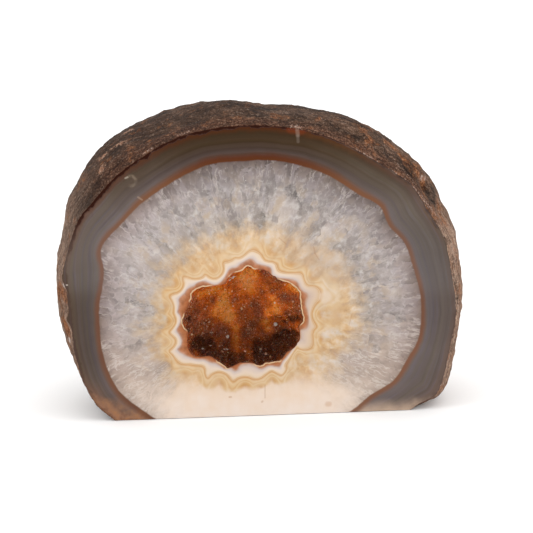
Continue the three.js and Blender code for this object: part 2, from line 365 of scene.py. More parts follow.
STAIN_EDGE = [  # outer side of the clear rust layer between the white band and the crystals
    (-29.5, 29), (-28.9, 30.2), (-28.3, 31.5), (-28.2, 33), (-28.6, 34), (-29.2, 34.8), (-28.9, 36),
    (-28.6, 37.5), (-28.7, 39), (-27.8, 40), (-26.8, 41), (-26.1, 42), (-25, 42.6), (-24, 43.1),
    (-23.2, 43.8), (-22.3, 44.3), (-21, 44.6), (-20, 44.3), (-19, 43.8), (-17.8, 43.4),
    (-16.6, 43.4), (-15.6, 44), (-14.7, 44.9), (-14, 46), (-13.4, 47.1), (-12.8, 48), (-12, 48.5),
    (-11, 48.6), (-10, 49), (-9.2, 49.8), (-8.2, 50.4), (-7.2, 50.9), (-6.3, 51.3), (-5.6, 51.1),
    (-4.9, 50.5), (-4.1, 49.8), (-3, 49.5), (-1.8, 49.2), (-0.7, 48.9), (0.2, 48.5), (0.6, 47.8),
    (0.7, 46.9), (1, 45.9), (1.8, 45.3), (3.2, 45), (4.6, 44.8), (6, 44.6), (7.5, 44.2),
    (8.7, 43.7), (9.3, 42.9), (9.7, 41.9), (10.3, 41), (11.2, 40.2), (12.1, 39.6), (12.3, 38.6),
    (11.8, 37.6), (11.6, 36.4), (11.9, 35.2), (12.3, 34), (12.6, 32.5), (12.7, 31), (12.5, 29.5),
    (12, 28.5), (11.1, 28.1), (10.2, 27.8), (10, 26.8), (10.1, 25.4), (9.3, 24.2), (8.4, 22.9),
    (7.4, 21.5), (6.4, 20.1), (5.2, 18.7), (4.3, 17.7), (3.8, 16.7), (3.2, 16), (2, 16.1),
    (0.6, 16.4), (-0.6, 16.3), (-1.6, 15.8), (-2.6, 15.5), (-3.4, 15.7), (-4.2, 16.4), (-5.2, 17),
    (-6.4, 17.3), (-7.8, 17.3), (-9, 17), (-9.8, 16.3), (-10.4, 15.4), (-11, 15.1), (-11.6, 15.4),
    (-12.2, 16), (-13.2, 15.9), (-14.4, 15.8), (-15.4, 16.6), (-16.3, 17.4), (-17.2, 17.9),
    (-18.4, 18), (-19.3, 18.3), (-20.2, 18.9), (-21.2, 19.3), (-22.4, 19.3), (-23.8, 19.4),
    (-25.2, 19.9), (-26.4, 20.5), (-27.6, 21.2), (-28.7, 21.9), (-29.3, 22.7), (-28.7, 23.4),
    (-28.1, 24.3), (-27.9, 25.4), (-28.2, 26.5), (-28.8, 27.6),
]
HOLLOW_AXIS = np.array([-8.0, 31.5])
STONE_AXIS = np.array([-2.5, 42.0])


def closed_curve(corners, steps=24):
    """Points along a smooth closed curve (centripetal Catmull-Rom) through the corners."""
    corners = np.array(corners, float)
    share = np.linspace(0, 1, steps, endpoint=False)[:, None]
    pieces = []
    for i in range(len(corners)):
        before, start, end, after = (corners[(i + k) % len(corners)] for k in (-1, 0, 1, 2))
        pairs = (before, start), (start, end), (end, after)
        first, middle, last = (math.sqrt(np.linalg.norm(b - a)) for a, b in pairs)
        leave = (
            start - before
        ) / first - (end - before) / (first + middle) + (end - start) / middle
        arrive = (end - start) / middle - (after - start) / (middle + last) + (after - end) / last
        leave, arrive = leave * middle, arrive * middle
        cubic = 2 * (start - end) + leave + arrive
        square = 3 * (end - start) - 2 * leave - arrive
        pieces.append(start + leave * share + square * share**2 + cubic * share**3)
    return np.concatenate(pieces)


sawn_edge, rust_line, cream_edge, hollow_rim = (
    closed_curve(line) for line in (SAWN_EDGE, RUST_LINE, CREAM_EDGE, HOLLOW_RIM)
)
white_edge, stain_edge = (closed_curve(line, 6) for line in (WHITE_EDGE, STAIN_EDGE))
print("the cut is", np.ptp(sawn_edge[:, 0]).round(1), "mm wide")

# %% [markdown]
# ## Relief
#
# Rough stone needs waves of many lengths. Seven plane waves that run many ways add
# up to a soft irregular swell, and they give the same shape at any resolution. The
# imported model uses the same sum, so the rind and the lining here follow its solids.

# %% Swells and bumps
TURN_SHARE = ((math.sqrt(5) - 1) / 2) ** 2 * math.tau
WAVES = 7


def swell(points, size, seed):
    """Smooth irregular relief between about -1 and 1."""
    height = np.zeros(len(points))
    for i in range(WAVES):
        turn = (i + seed) * TURN_SHARE
        rise = ((i * 0.37 + seed * 0.61) % 1) * 2 - 1
        flat = math.sqrt(1 - rise * rise)
        across = points[:, 0] * math.cos(turn) + points[:, 1] * math.sin(turn)
        along = across * flat + points[:, 2] * rise
        height += np.sin(math.tau * along / (size * (1.25 - 0.09 * i)) + 1.7 * i + seed)
    return height / math.sqrt(2 * WAVES)


def bump(distance, radius):
    return np.exp(-((distance / radius) ** 2))


def soft_step(value, low, high):
    share = np.clip((value - low) / (high - low), 0, 1)
    return share * share * (3 - 2 * share)


def crag(points, size, seed):
    """Sharper, broken relief between about -1 and 1."""
    shift = Vector((seed * 17.3, seed * 5.1, seed * 9.7))
    return np.array([noise.noise(Vector(p) / size + shift) for p in points])


print("a swell adds", WAVES, "waves, turned by", round(math.degrees(TURN_SHARE), 1), "degrees each")

# %% [markdown]
# ## The stone's surface, ring by ring
#
# The whole stone could be cut out with booleans, but then the face would be a few
# long triangles that can't carry the distances the bands need. A net of rings is
# better: it starts at the back of the hollow, comes out to the rim, runs across the
# face to the sawn edge and round the rind to the back. Every ring has the same
# number of points, so neighbouring rings simply join.

# %% Points where the rings cross the rim and the sawn edge
COLUMNS = 440
BAYS = [  # height, reach and depth of the shallow bays in the edge's left side
    (33.6, 1.7, 0.9), (46.5, 2.4, 0.7), (42.4, 1.0, -0.5), (29, 2.5, -0.4),
]
turns = np.linspace(-math.pi, math.pi, COLUMNS, endpoint=False)


def along_line(line, angles):
    """The points of a closed line at these angles round the hollow's axis."""
    own = np.arctan2(line[:, 1] - HOLLOW_AXIS[1], line[:, 0] - HOLLOW_AXIS[0])
    columns = [np.interp(angles, own, values, period=math.tau) for values in line.T]
    return np.stack(columns, 1)


def on_face(line):
    """A line's (x, z) points as (x, y, z) points on the face."""
    return np.stack([line[:, 0], np.zeros(len(line)), line[:, 1]], 1)


def moved_out(line, axis, amount):
    """A line's points, each moved away from an axis by its own amount."""
    away = line - axis
    return line + away / np.linalg.norm(away, axis=1)[:, None] * amount[:, None]


edge = along_line(sawn_edge, turns)
rim = along_line(hollow_rim, turns)
ring_3d = on_face(edge)
chips = 0.2 * crag(ring_3d, 2.2, 1) + 0.14 * crag(ring_3d, 0.9, 2)
for height, reach, step in BAYS:
    bay = step * np.exp(-(((edge[:, 1] - height) / reach) ** 2)) * (edge[:, 0] < 0)
    chips += bay
    edge[:, 2] -= bay
edge[:, :2] = moved_out(edge[:, :2], STONE_AXIS, chips)
ragged = 0.35 * crag(on_face(rim), 1.6, 3) + 0.2 * crag(on_face(rim), 0.7, 4)
rim = moved_out(rim, HOLLOW_AXIS, ragged)
print("columns:", COLUMNS, "edge raggedness in mm:", chips.min().round(2), chips.max().round(2))

# %% The hollow's wall and the lining's shape
HOLLOW_DEPTH = 17
HOLLOW_SLOPE = 0.28
SHELF_HEIGHT, SHELF_TILT, SHELF_RISE = 29.4, 0.19, 4.5
LOBES = [  # x, z, radius, height of the lining's lumps
    (-14.5, 33, 6, 2), (1.5, 34.5, 5.5, 1.6), (-5.5, 41, 5, 2), (-9.5, 25, 4, 3),
    (0, 27.5, 3.5, 1.4), (-5.5, 33, 3.5, -1.2), (5.5, 37.5, 3.5, -1), (-20, 28, 4.5, -1),
]


def lining_relief(points):
    height = 0.45 * swell(points, 7, 4)
    for x, z, radius, lobe in LOBES:
        height += lobe * bump(np.hypot(points[:, 0] - x, points[:, 2] - z), radius)
    over_shelf = points[:, 2] - (SHELF_HEIGHT + SHELF_TILT * points[:, 0])
    return height + SHELF_RISE * soft_step(over_shelf, -1.2, 1.2) * soft_step(points[:, 0], -5, 2)


def hollow_ring(line, inward, inset, lined=False):
    """One ring of the hollow's wall: inward is 0 at the rim and 1 at the back."""
    across = line - HOLLOW_AXIS
    deep = math.sin(inward * math.pi / 2)
    narrow = max(math.cos(inward * math.pi / 2), 0) ** 0.62
    flat = HOLLOW_AXIS + across * (narrow * (1 - inset / np.linalg.norm(across, axis=1)))[:, None]
    depth = HOLLOW_DEPTH * deep**0.9
    points = np.stack([flat[:, 0], np.full(len(line), depth), flat[:, 1]], 1)
    slope = 1 + HOLLOW_SLOPE * (HOLLOW_AXIS[1] - points[:, 2]) / HOLLOW_DEPTH
    points[:, 1] = (depth + 1.1 * swell(points, 15, 3) * deep) * slope - inset * deep
    if lined:
        points[:, 1] -= np.maximum(lining_relief(points), 0) * deep
    return points


print("the hollow is", HOLLOW_DEPTH, "mm deep, with", len(LOBES), "lumps and a shelf in its lining")

# %% Big forms and small knobs of the rind
BELLY_DEPTH = 20
BELLY_SHARE = 0.3  # of the rind's rings, from the sawn edge back to its widest place
STONE_DEPTH = 62
BACK_FULLNESS = 2.3
HALF_WIDTH, HALF_HEIGHT = 66, 55
KNOBS = 90
RIND_SPOTS = [  # x, y, z, radius, height of the rind's pits and lumps
    (50.5, 8, 73, 3.6, -2.4), (48.5, 9, 78, 4.0, 1.0), (57.5, 10, 62, 4.5, -0.9),
    (56.5, 20, 70, 5.0, 0.2), (51.5, 7.5, 72.5, 1.8, -1.5), (51.6, 9.5, 75.4, 1.5, 1.0),
    (53, 8, 69, 1.8, -0.9), (50, 16, 80, 6.0, -0.8), (55, 12, 8, 6.0, -0.8),
    (-60, 15, 64, 6.0, -0.5), (11, 20, 100, 7.0, -0.5), (58, 14, 69, 5.0, 0.5),
    (-65, 7, 40, 4.0, 0.8), (-64.5, 6, 31, 3.5, 0.7), (-57, 26, 74, 8.0, -1.6),
    (28, 34, 90, 9.0, -1.8), (-22, 48, 78, 10.0, -2.2), (20, 56, 58, 11.0, -2.0),
    (-40, 50, 40, 9.0, -2.4), (50, 38, 34, 8.0, -2.0), (2, 60, 22, 9.0, -1.6),
]
knobs = np.random.default_rng(17)
for _ in range(KNOBS):  # the back is never seen close, so its smaller knobs are scattered by chance
    turn, rise = knobs.uniform(0, math.tau), knobs.uniform(0.3, 1.45)
    reach = math.cos(rise) ** (2 / BACK_FULLNESS)
    depth = BELLY_DEPTH + (STONE_DEPTH - BELLY_DEPTH) * math.sin(rise) ** (2 / BACK_FULLNESS)
    wide, high = (HALF_WIDTH - 2) * reach, (HALF_HEIGHT - 1) * reach
    x, z = STONE_AXIS + (wide * math.cos(turn), high * math.sin(turn))
    RIND_SPOTS.append((x, depth, z, knobs.uniform(2.5, 7.0), knobs.uniform(-1.7, 0.7)))
print("pits and lumps of the rind:", len(RIND_SPOTS))

# %% One ring of the face, one of the rind
def face_ring(share):
    """One ring of the flat face: share is 0 at the rim and 1 at the sawn edge."""
    return on_face(rim + (edge[:, :2] - rim) * share)


def roughened(points):
    """The rind's points, moved out or in by its relief, big forms first."""
    sideways = (points[:, 0] - STONE_AXIS[0]) / HALF_WIDTH**2
    backwards = np.maximum(points[:, 1] - BELLY_DEPTH, 0) / (STONE_DEPTH - BELLY_DEPTH) ** 2
    upwards = (points[:, 2] - STONE_AXIS[1]) / HALF_HEIGHT**2
    outward = np.stack([sideways, backwards, upwards], 1)
    outward /= np.maximum(np.linalg.norm(outward, axis=1), 1e-9)[:, None]
    height = 1.5 * swell(points, 46, 2) + 0.4 * swell(points, 17, 5)
    for x, y, z, radius, spot in RIND_SPOTS:
        height += spot * bump(np.linalg.norm(points - (x, y, z), axis=1), radius)
    height *= soft_step(points[:, 1], 0, 7)
    height += rind_grain(points) * soft_step(points[:, 1], 0.2, 2.2)
    return points + outward * height[:, None]


def rind_grain(points):
    """Small relief: grooves that run round the stone, crags and grains."""
    turn = np.arctan2(points[:, 2] - STONE_AXIS[1], points[:, 0] - STONE_AXIS[0])
    groove = np.stack([np.cos(turn) * 9, points[:, 1] * 1.3, np.sin(turn) * 9], 1)
    ridged = 0.5 - np.abs(crag(points, 7.5, 5)) * 2
    small = 0.2 * crag(groove, 2.4, 6) + 0.14 * ridged + 0.2 * crag(points, 3.0, 7)
    rugged = 0.75 + 0.35 * soft_step(points[:, 0], 5, 50)
    rugged += 0.5 * soft_step(points[:, 1], 12, 30)
    return rugged * (small + 0.22 * crag(points, 1.5, 8))


def rind_ring(back):
    """One ring of the rind: back is 0 at the sawn edge and 1 at the rearmost point."""
    across = edge[:, :2] - STONE_AXIS
    standoff = edge[:, 2] / np.linalg.norm(across, axis=1)
    if back < BELLY_SHARE:
        share = back / BELLY_SHARE
        depth = BELLY_DEPTH * share
        spread = 1 + standoff * (1 - (1 - share) ** 2)
    else:
        turn = (back - BELLY_SHARE) / (1 - BELLY_SHARE) * math.pi / 2
        power = 2 / BACK_FULLNESS
        depth = BELLY_DEPTH + (STONE_DEPTH - BELLY_DEPTH) * math.sin(turn) ** power
        spread = (1 + standoff) * max(math.cos(turn), 0) ** power
    flat = STONE_AXIS + across * spread[:, None]
    return roughened(np.stack([flat[:, 0], np.full(COLUMNS, depth), flat[:, 1]], 1))


print("the rind is widest", BELLY_DEPTH, "mm behind the face and", STONE_DEPTH, "mm deep")

# %% All the rings, from the hollow's back to the rind's back
WALL_ROWS = 18
FINE_ROWS = 44
FINE_SHARE = 0.34
FACE_ROWS = 46
RIND_ROWS = 104
ARRIS = 0.12  # how far the last ring of the face stops short of the edge

rows = [hollow_ring(rim, 1 - i / WALL_ROWS, 0) for i in range(WALL_ROWS)]
first_face_row = len(rows)
rows += [face_ring(FINE_SHARE * i / FINE_ROWS) for i in range(FINE_ROWS)]
rows += [face_ring(FINE_SHARE + (1 - FINE_SHARE) * i / FACE_ROWS) for i in range(FACE_ROWS)]
rows.append(on_face(moved_out(edge[:, :2], STONE_AXIS, np.full(COLUMNS, -ARRIS))))
first_rind_row = len(rows)
start = BELLY_SHARE * ARRIS / BELLY_DEPTH
rows += [rind_ring(start + (1 - start) * i / RIND_ROWS) for i in range(RIND_ROWS + 1)]
print("rings:", len(rows), "the face starts at", first_face_row, "the rind at", first_rind_row)


# %% A net of rings, closed by one point at each end
def net(rows):
    """Points and faces of a closed net. Its first and last ring close to a point."""
    columns = len(rows[0])
    points = np.concatenate([rows[0].mean(0)[None], *rows[1:-1], rows[-1].mean(0)[None]])
    tip = len(points) - 1
    faces, ring_of = [], []
    for r in range(len(rows) - 1):
        for c in range(columns):
            d = (c + 1) % columns
            a, b = 1 + (r - 1) * columns, 1 + r * columns
            if r == 0:
                face = (0, b + c, b + d)
            elif r == len(rows) - 2:
                face = (a + d, a + c, tip)
            else:
                face = (a + d, a + c, b + c, b + d)
            faces.append(face)
            ring_of.append(r)
    return points, faces, np.array(ring_of)


stone_points, stone_faces, ring_of = net(rows)
RIND, FACE, BASE, WALL = range(4)  # numbers of the stone's finishes
outer = np.where(ring_of < first_rind_row - 1, FACE, RIND)
finish_of = np.where(ring_of < first_face_row, WALL, outer)
print("points:", len(stone_points), "faces:", len(stone_faces))

# %% [markdown]
# ## Sawing the base
#
# The saw cut is a plane, so the net is bisected at height zero and everything below
# goes. The hole that is left gets its own fine triangles, because the sawn base
# shows the same bands as the face and needs points to carry them.

# %% Points for the base
BASE_STEP = 1.8


def base_grid(outline):
    """Points in staggered rows inside the outline's box, none too close to the outline."""
    low, high = outline.min(0), outline.max(0)
    heights = np.arange(low[1] + BASE_STEP / 2, high[1], BASE_STEP * 0.87)
    grid = [
        (x + (j % 2) * BASE_STEP / 2, y)
        for j, y in enumerate(heights)
        for x in np.arange(low[0], high[0], BASE_STEP)
    ]
    return [p for p in grid if np.abs(outline - p).max(1).min() > BASE_STEP * 0.45]


print("points of the base lie", BASE_STEP, "mm apart")

# %% The base cut
def sawn(points, faces, finish_of):
    """The net above height zero, closed by a flat base of fine triangles."""
    mesh = bpy.data.meshes.new("agate_body")
    mesh.from_pydata(points.tolist(), [], faces)
    mesh.polygons.foreach_set("material_index", finish_of.astype(np.int32))
    body = bmesh.new()
    body.from_mesh(mesh)
    everything = body.verts[:] + body.edges[:] + body.faces[:]
    plane = {"plane_co": (0, 0, 0), "plane_no": (0, 0, -1), "dist": 1e-4}
    bmesh.ops.bisect_plane(body, geom=everything, clear_outer=True, **plane)
    border = [e for e in body.edges if e.is_boundary]
    corners = list({v for e in border for v in e.verts})
    for v in corners:
        v.co.z = 0
    number = {v: i for i, v in enumerate(corners)}
    outline = np.array([v.co[:2] for v in corners])
    flat = [Vector(p) for p in outline.tolist() + base_grid(outline)]
    rim_edges = [(number[e.verts[0]], number[e.verts[1]]) for e in border]
    found = geometry.delaunay_2d_cdt(flat, rim_edges, [], 1, 1e-5)
    made = {}
    for i, p in enumerate(found[0]):
        own = [k for k in found[3][i] if k < len(corners)]
        made[i] = corners[own[0]] if own else body.verts.new((p.x, p.y, 0))
    for triangle in found[2]:
        if len({made[i] for i in triangle}) == 3:
            face = body.faces.new([made[i] for i in triangle])
            face.material_index = BASE
    bmesh.ops.recalc_face_normals(body, faces=body.faces[:])
    body.to_mesh(mesh)
    open_edges = sum(e.is_boundary for e in body.edges)
    body.free()
    print("base border points:", len(corners), "open edges left:", open_edges)
    return mesh


stone_mesh = sawn(stone_points, stone_faces, finish_of)

# %% [markdown]
# ## What each point of the face knows
#
# A finish can draw any band if it knows how far each point is from the lines above.
# Those distances are measured here once and stored on the mesh as plain numbers.
# The wavy bands near the hollow need one more: they grew outwards from many small
# seeds, so each point also knows how far it is from its nearest seed. Knocks, chips
# and rusty patches of the rind are stored in the same way.

# %% Distances from the six lines
BATCH = 4000  # points at a time, so that the tables stay small
TINY = 1e-9


def distance_to(line, flat):
    """How far each point lies from a closed line, and whether it is inside it."""
    start = line[:, :2].astype(np.float32)
    step = np.roll(start, -1, 0) - start
    rise = np.where(np.abs(step[:, 1]) < TINY, TINY, step[:, 1])
    length = np.maximum((step**2).sum(1), TINY)
    nearest = np.empty(len(flat), np.float32)
    crossings = np.zeros(len(flat), int)
    for i in range(0, len(flat), BATCH):
        batch = slice(i, i + BATCH)
        part = flat[batch, None].astype(np.float32) - start[None]
        share = np.clip((part * step).sum(2) / length, 0, 1)
        nearest[batch] = np.sqrt((((part - share[..., None] * step) ** 2).sum(2)).min(1))
        above = part[..., 1] < 0
        next_above = (flat[batch, None, 1] - np.roll(start, -1, 0)[None, :, 1]) < 0
        reach = part[..., 0] - part[..., 1] * step[:, 0] / rise
        crossings[batch] = ((above != next_above) & (reach < 0)).sum(1)
    return np.where(crossings % 2 == 1, nearest, -nearest)


def base_scale(depth):
    """How much smaller the nodule is at this depth than at the face, for the base's bands."""
    behind = np.clip((depth - BELLY_DEPTH) / (STONE_DEPTH - BELLY_DEPTH), 0, 0.985)
    return (1 - behind**BACK_FULLNESS) ** (1 / BACK_FULLNESS)


place = np.empty(len(stone_mesh.vertices) * 3, np.float32)
stone_mesh.vertices.foreach_get("co", place)
place = place.reshape(-1, 3).astype(float)
shrink = base_scale(place[:, 1])[:, None]
flat = STONE_AXIS + (place[:, [0, 2]] - STONE_AXIS) / shrink

skin = np.maximum(distance_to(sawn_edge[::3], flat), 0) * shrink[:, 0]
rust = -distance_to(rust_line[::3], flat) * shrink[:, 0]
cream = distance_to(cream_edge[::3], flat) * shrink[:, 0]
out_of_hollow = -distance_to(rim, flat)
white = -distance_to(white_edge, flat)
stain = -distance_to(stain_edge, flat)
print(
    "skin up to", skin.max().round(1), "mm deep, quartz from", rust.min().round(1),
    "mm inside the rust line"
)

# %% Distances from the seeds of the wavy bands
SEEDS = [  # x, z, size, how much honey colour its middle has
    (-33.4, 25.2, 0.5, 0.35), (-32.2, 31.8, 0.3, 0.9), (-33, 36.8, 0.4, 0.6), (-30, 44.2, 0.4, 1.0),
    (-24, 48.6, 0.4, 0.5), (-17.6, 48.4, 0.4, 0.7), (-10.2, 55, 0.6, 0.3), (0.9, 53.6, 0.5, 0.9),
    (7, 49.8, 0.4, 1.0), (13.8, 45, 0.3, 0.9), (20.6, 44.8, 1.2, 0.05), (17, 32.8, 0.4, 1.0),
    (22.6, 32.2, 0.5, 0.3), (17.2, 25, 0.4, 0.9), (9.4, 19.2, 0.3, 0.8), (12.8, 17.2, 0.5, 0.5),
    (7, 12.4, 0.4, 0.5), (0.9, 11.2, 0.4, 0.8), (-3, 9.2, 0.2, 0.6), (-7.8, 9.6, 0.4, 0.9),
    (-16.2, 11, 1.0, 0.5), (-23, 13.4, 0.4, 0.6), (-27.2, 14.4, 0.4, 0.4), (-33.2, 20.2, 0.3, 0.7),
]
MERGE = 0.12  # how softly the domes of two seeds run together, in mm
seeds = np.array(SEEDS)
to_seed = np.hypot(flat[:, :1] - seeds[None, :, 0], flat[:, 1:] - seeds[None, :, 1])
own = to_seed - seeds[None, :, 2] * 0.5
closest = own.min(1, keepdims=True)
merged = closest[:, 0] - MERGE * np.log(np.exp(-(own - closest) / MERGE).sum(1))
scallop = np.maximum(merged, 0)
pull = np.exp(-(own - closest) / 1.2)
dome_radius = -distance_to(white_edge, seeds[:, :2])
dome = (pull * dome_radius).sum(1) / pull.sum(1)
honey = (pull * seeds[None, :, 3]).sum(1) / pull.sum(1)
print(
    len(SEEDS), "seeds,", dome_radius.min().round(1), "to", dome_radius.max().round(1),
    "mm from the white band"
)

# %% The painted highlight along the rim, and the smoky patches in the quartz
# The rim's pale lip is a painted highlight, a thin bright line where the chipped edge catches the
# light; each stop gives an angle and how bright it is there.
RIM_HIGHLIGHT = [  # angle round the hollow in degrees, how bright the pale lip is
    (-175, 0.8), (-168, 0.1), (-128, 0.1), (-122, 0.8), (-112, 0.8), (-105, 0.2), (-80, 0.2),
    (-74, 0.9), (-52, 0.9), (-44, 0.1), (-28, 0.3), (-10, 0.1), (-2, 1.0), (24, 1.0), (44, 0.9),
    (54, 0.2), (74, 0.2), (80, 0.8), (96, 0.8), (102, 0.3), (108, 0.6), (114, 0.1), (130, 0.2),
    (137, 1.0), (156, 1.0), (162, 0.1), (170, 0.2), (176, 0.9),
]
SMOKY = [  # x, z, radius
    (13.9, 60.8, 2.0), (11.6, 59.6, 1.6), (25.9, 46.7, 2.2), (0.2, 64.6, 1.8), (-14, 68.7, 2.2),
    (-16.5, 73.4, 1.5), (-11.2, 62.3, 2.4), (-16.5, 63.4, 1.8), (15.2, 56, 1.6), (-11.8, 65.5, 1.6),
    (22.6, 53.6, 2.0), (27.4, 53.5, 1.6), (-22, 62.5, 2.0), (-28, 55.5, 1.8), (-3.5, 71, 1.6),
    (6, 70.5, 1.4), (33, 43, 1.8), (25.6, 44, 1.3), (-30.5, 60, 1.6), (17.6, 62, 1.5),
    (-6.2, 61.5, 1.5), (29, 38, 1.5), (-41, 47, 1.5), (34.5, 51, 1.5),
]
turn_of = np.degrees(np.arctan2(flat[:, 1] - HOLLOW_AXIS[1], flat[:, 0] - HOLLOW_AXIS[0]))
rim_highlight = np.interp(turn_of, *np.array(RIM_HIGHLIGHT).T, period=360)
smoke = sum(bump(np.hypot(flat[:, 0] - x, flat[:, 1] - z), radius) for x, z, radius in SMOKY)
print("smoky patches:", len(SMOKY), "stops round the rim:", len(RIM_HIGHLIGHT))

# %% Marks on the rind
RUSTY_MARKS = [  # one end, other end, radius and sometimes a weight: orange patches
    ((14.4, 5.4, 94.6), (16.2, 5.9, 94.7), 1.8, 0.8), ((31.6, 3.9, 87.7), (33.1, 5, 87.9), 1.5),
    ((38.8, 9.2, 86.4), (41.8, 10.6, 84.7), 2.2), ((43.8, 5.8, 80.3), (46, 5.4, 78.4), 1.8),
    ((43.4, 8.7, 82.6), (45.5, 6.4, 80.2), 1.6), ((50.5, 8.9, 73.4), (51.5, 8.6, 71.1), 1.5, 1.5),
    ((56.5, 11, 67.4), (57.6, 11.4, 64.4), 1.8), ((60.1, 13, 61.8), (59.8, 11.5, 61), 1.0),
    ((48.1, 6, 77.4), (49.4, 7, 75.9), 1.2), ((-38.1, 4.8, 87.9), (-37.1, 5.2, 88.5), 1.1),
    ((-26.6, 12.7, 95.8), (-26, 12.2, 95.8), 1.0), ((-31.9, 3.3, 90.3), (-31.3, 3.3, 90.4), 0.9),
    ((-49.1, 2.2, 79.3), (-49, 2.1, 79.3), 1.0), ((-65.5, 4.9, 42.8), (-64.1, 1.7, 39.3), 3.0, 1.3),
    ((-66, 7, 42), (-66, 6, 36), 3.0), ((-64.9, 4.9, 31.5), (-63.6, 4.8, 27.2), 2.8, 1.3),
    ((-63.6, 9.6, 23.1), (-62.6, 4.9, 22.6), 1.8), ((-62.6, 4.3, 59.8), (-62.3, 0, 56.7), 1.2),
    ((58.8, 0, 37), (60, 1, 30), 1.8), ((-60, 2, 15), (-57, 2, 8), 2.5),
    ((1.5, 5.9, 96), (6, 5, 95.5), 2.2, 0.75), ((-13, 3.4, 94.6), (-5, 3.2, 95), 2.0, 0.65),
]
PALE_MARKS = [  # chips, crumbs along the sawn edge and two fine pale lines
    ((-44.3, 16.5, 89.9), (-42.4, 16.1, 90.9), 1.4, 1.2),
    ((-48.5, 11.9, 85.7), (-44.5, 10, 87.7), 1.3, 1.2),
    ((-52.4, 11.5, 82.3), (-50.5, 11.8, 83.9), 1.4, 1.2),
    ((-52.8, 5.8, 78.6), (-51.5, 6.5, 80.4), 1.6, 1.2),
    ((-48.5, 6.8, 83.3), (-48.4, 6.8, 83.4), 0.7), ((-28.3, 0.9, 90.8), (-24.9, 0.9, 91.7), 0.9),
    ((-39.5, 1.1, 85), (-36.7, 0.5, 86.3), 0.8), ((7.1, 0.6, 92.9), (9.4, 0.9, 92.7), 1.2, 1.25),
    ((-3.6, 5.3, 96.5), (-2.9, 5.5, 96.5), 0.8), ((50.2, 8, 75.1), (52.2, 10.6, 74.6), 0.95, 1.6),
    ((14, 10.4, 96.2), (18.4, 5.9, 94.3), 0.5), ((37.5, 7.6, 86.6), (41.4, 3.8, 80.6), 0.55),
    ((41.4, 3.8, 80.6), (46.8, 1.6, 74.1), 0.55), ((27.4, 0, 85.4), (34.8, 0.1, 81.5), 0.6),
    ((39, 0, 78.6), (45.8, 0, 73.4), 0.9), ((45.8, 0, 73.4), (49.7, 0.7, 69), 1.0),
    ((49.7, 0.7, 69), (54.2, 2.8, 63.8), 1.1), ((53.6, 0.1, 62), (56.4, 0.5, 57.6), 1.0),
    ((58.5, 0, 47.9), (59.7, 0, 40), 1.0), ((59.9, 3.4, 53.5), (60.8, 2.7, 48.3), 1.1),
    # The two heaviest marks on the left side, at heights 44 and 26, are painted glints: small white
    # highlights on the rind by the edge.
    ((-66.3, 11.6, 48.6), (-65.8, 5.1, 45), 1.2), ((-64.4, 0.5, 44.4), (-64, 0, 44.3), 1.2, 1.9),
    ((-63.4, 4.9, 25.6), (-63.2, 4.1, 25.7), 1.3, 2.0), ((-62.4, 3, 57), (-64.8, 5, 51.4), 1.2),
    ((-60.6, 0.6, 17), (-58, 0.6, 10), 0.7), ((62.1, 1.7, 35.9), (62.3, 3.5, 25.5), 1.0),
    ((59.8, 1, 19.4), (56.5, 0.1, 8), 1.2), ((57.7, 0, 26.4), (58.6, 0, 30.4), 0.8),
    ((56.6, 5.4, 2.4), (55, 3, 4.5), 1.3),
]
# Painted shade: the rind's pits and the hollows between its chips and lumps are painted darker.
SHADE_MARKS = [  # dark hollows between them
    ((-47.5, 3.3, 81.6), (-45.7, 2.9, 82.9), 1.3), ((-54.2, 2.7, 74), (-52.9, 3.4, 76.4), 1.3),
    ((-56.4, 0.7, 69.4), (-55.4, 2.5, 72.2), 1.1), ((-36.2, 18.6, 93.8), (-31.1, 23.4, 95.9), 2.4),
    ((-50.2, 9.5, 82.4), (-47.3, 8.5, 84.8), 1.0), ((-27, 11.2, 95), (-20, 11, 97), 2.6),
    ((12, 17, 98), (24, 15, 95), 3.0), ((-4.9, 10, 98.3), (2, 11, 98.4), 2.2),
    ((20, 3.5, 92.4), (30, 3.5, 88.2), 1.2), ((51.4, 9, 71.6), (52.7, 8.2, 70.2), 1.3, 1.5),
    ((52.1, 5.6, 69.6), (55, 7.7, 66.9), 1.5, 1.3), ((44.1, 4.1, 78.9), (47, 3.9, 76), 1.3),
    ((54.7, 11.1, 71.4), (55.3, 10.7, 69.5), 1.4), ((60.6, 1.4, 40), (61.4, 1.6, 36), 0.9),
]


def marked(marks):
    """How near each point is to any of these marks: 1 on one, more on a heavy one."""
    total = np.zeros(len(place))
    for start, end, radius, *weight in marks:
        from_start, along = place - start, np.array(end) - start
        share = np.clip((from_start @ along) / (along**2).sum(), 0, 1)
        near = bump(np.linalg.norm(from_start - share[:, None] * along, axis=1), radius)
        total = np.maximum(total, near * (weight[0] if weight else 1))
    return total


print("rusty, pale and dark marks:", len(RUSTY_MARKS), len(PALE_MARKS), len(SHADE_MARKS))

# %% Storing them on the mesh
measures = {
    "skin": skin, "rust": rust, "cream": cream, "out_of_hollow": out_of_hollow, "white": white,
    "stain": stain, "scallop": scallop, "dome": dome, "honey": honey, "rim_highlight": rim_highlight, "smoke": smoke,
    "rusty": marked(RUSTY_MARKS), "pale": marked(PALE_MARKS), "shade": marked(SHADE_MARKS),
}


def store(mesh, measures):
    for name, values in measures.items():
        layer = mesh.attributes.new(name, "FLOAT", "POINT")
        layer.data.foreach_set("value", values.astype(np.float32))


store(stone_mesh, measures)
print("measures on the mesh:", ", ".join(measures))

# %% [markdown]
# ## The polished face: chalcedony
#
# The cut is as smooth as glass, so nothing on it is raised: every band is colour
# alone. Outermost lies chalcedony, laid down in thin coats like paint, so its bands
# run beside both the sawn edge and the rust line. Drawing them as an image would tie
# them to one size. Here a ramp of greys and browns is read at each point's depth in
# the skin, and noise that is stretched along the bands adds the finer coats.

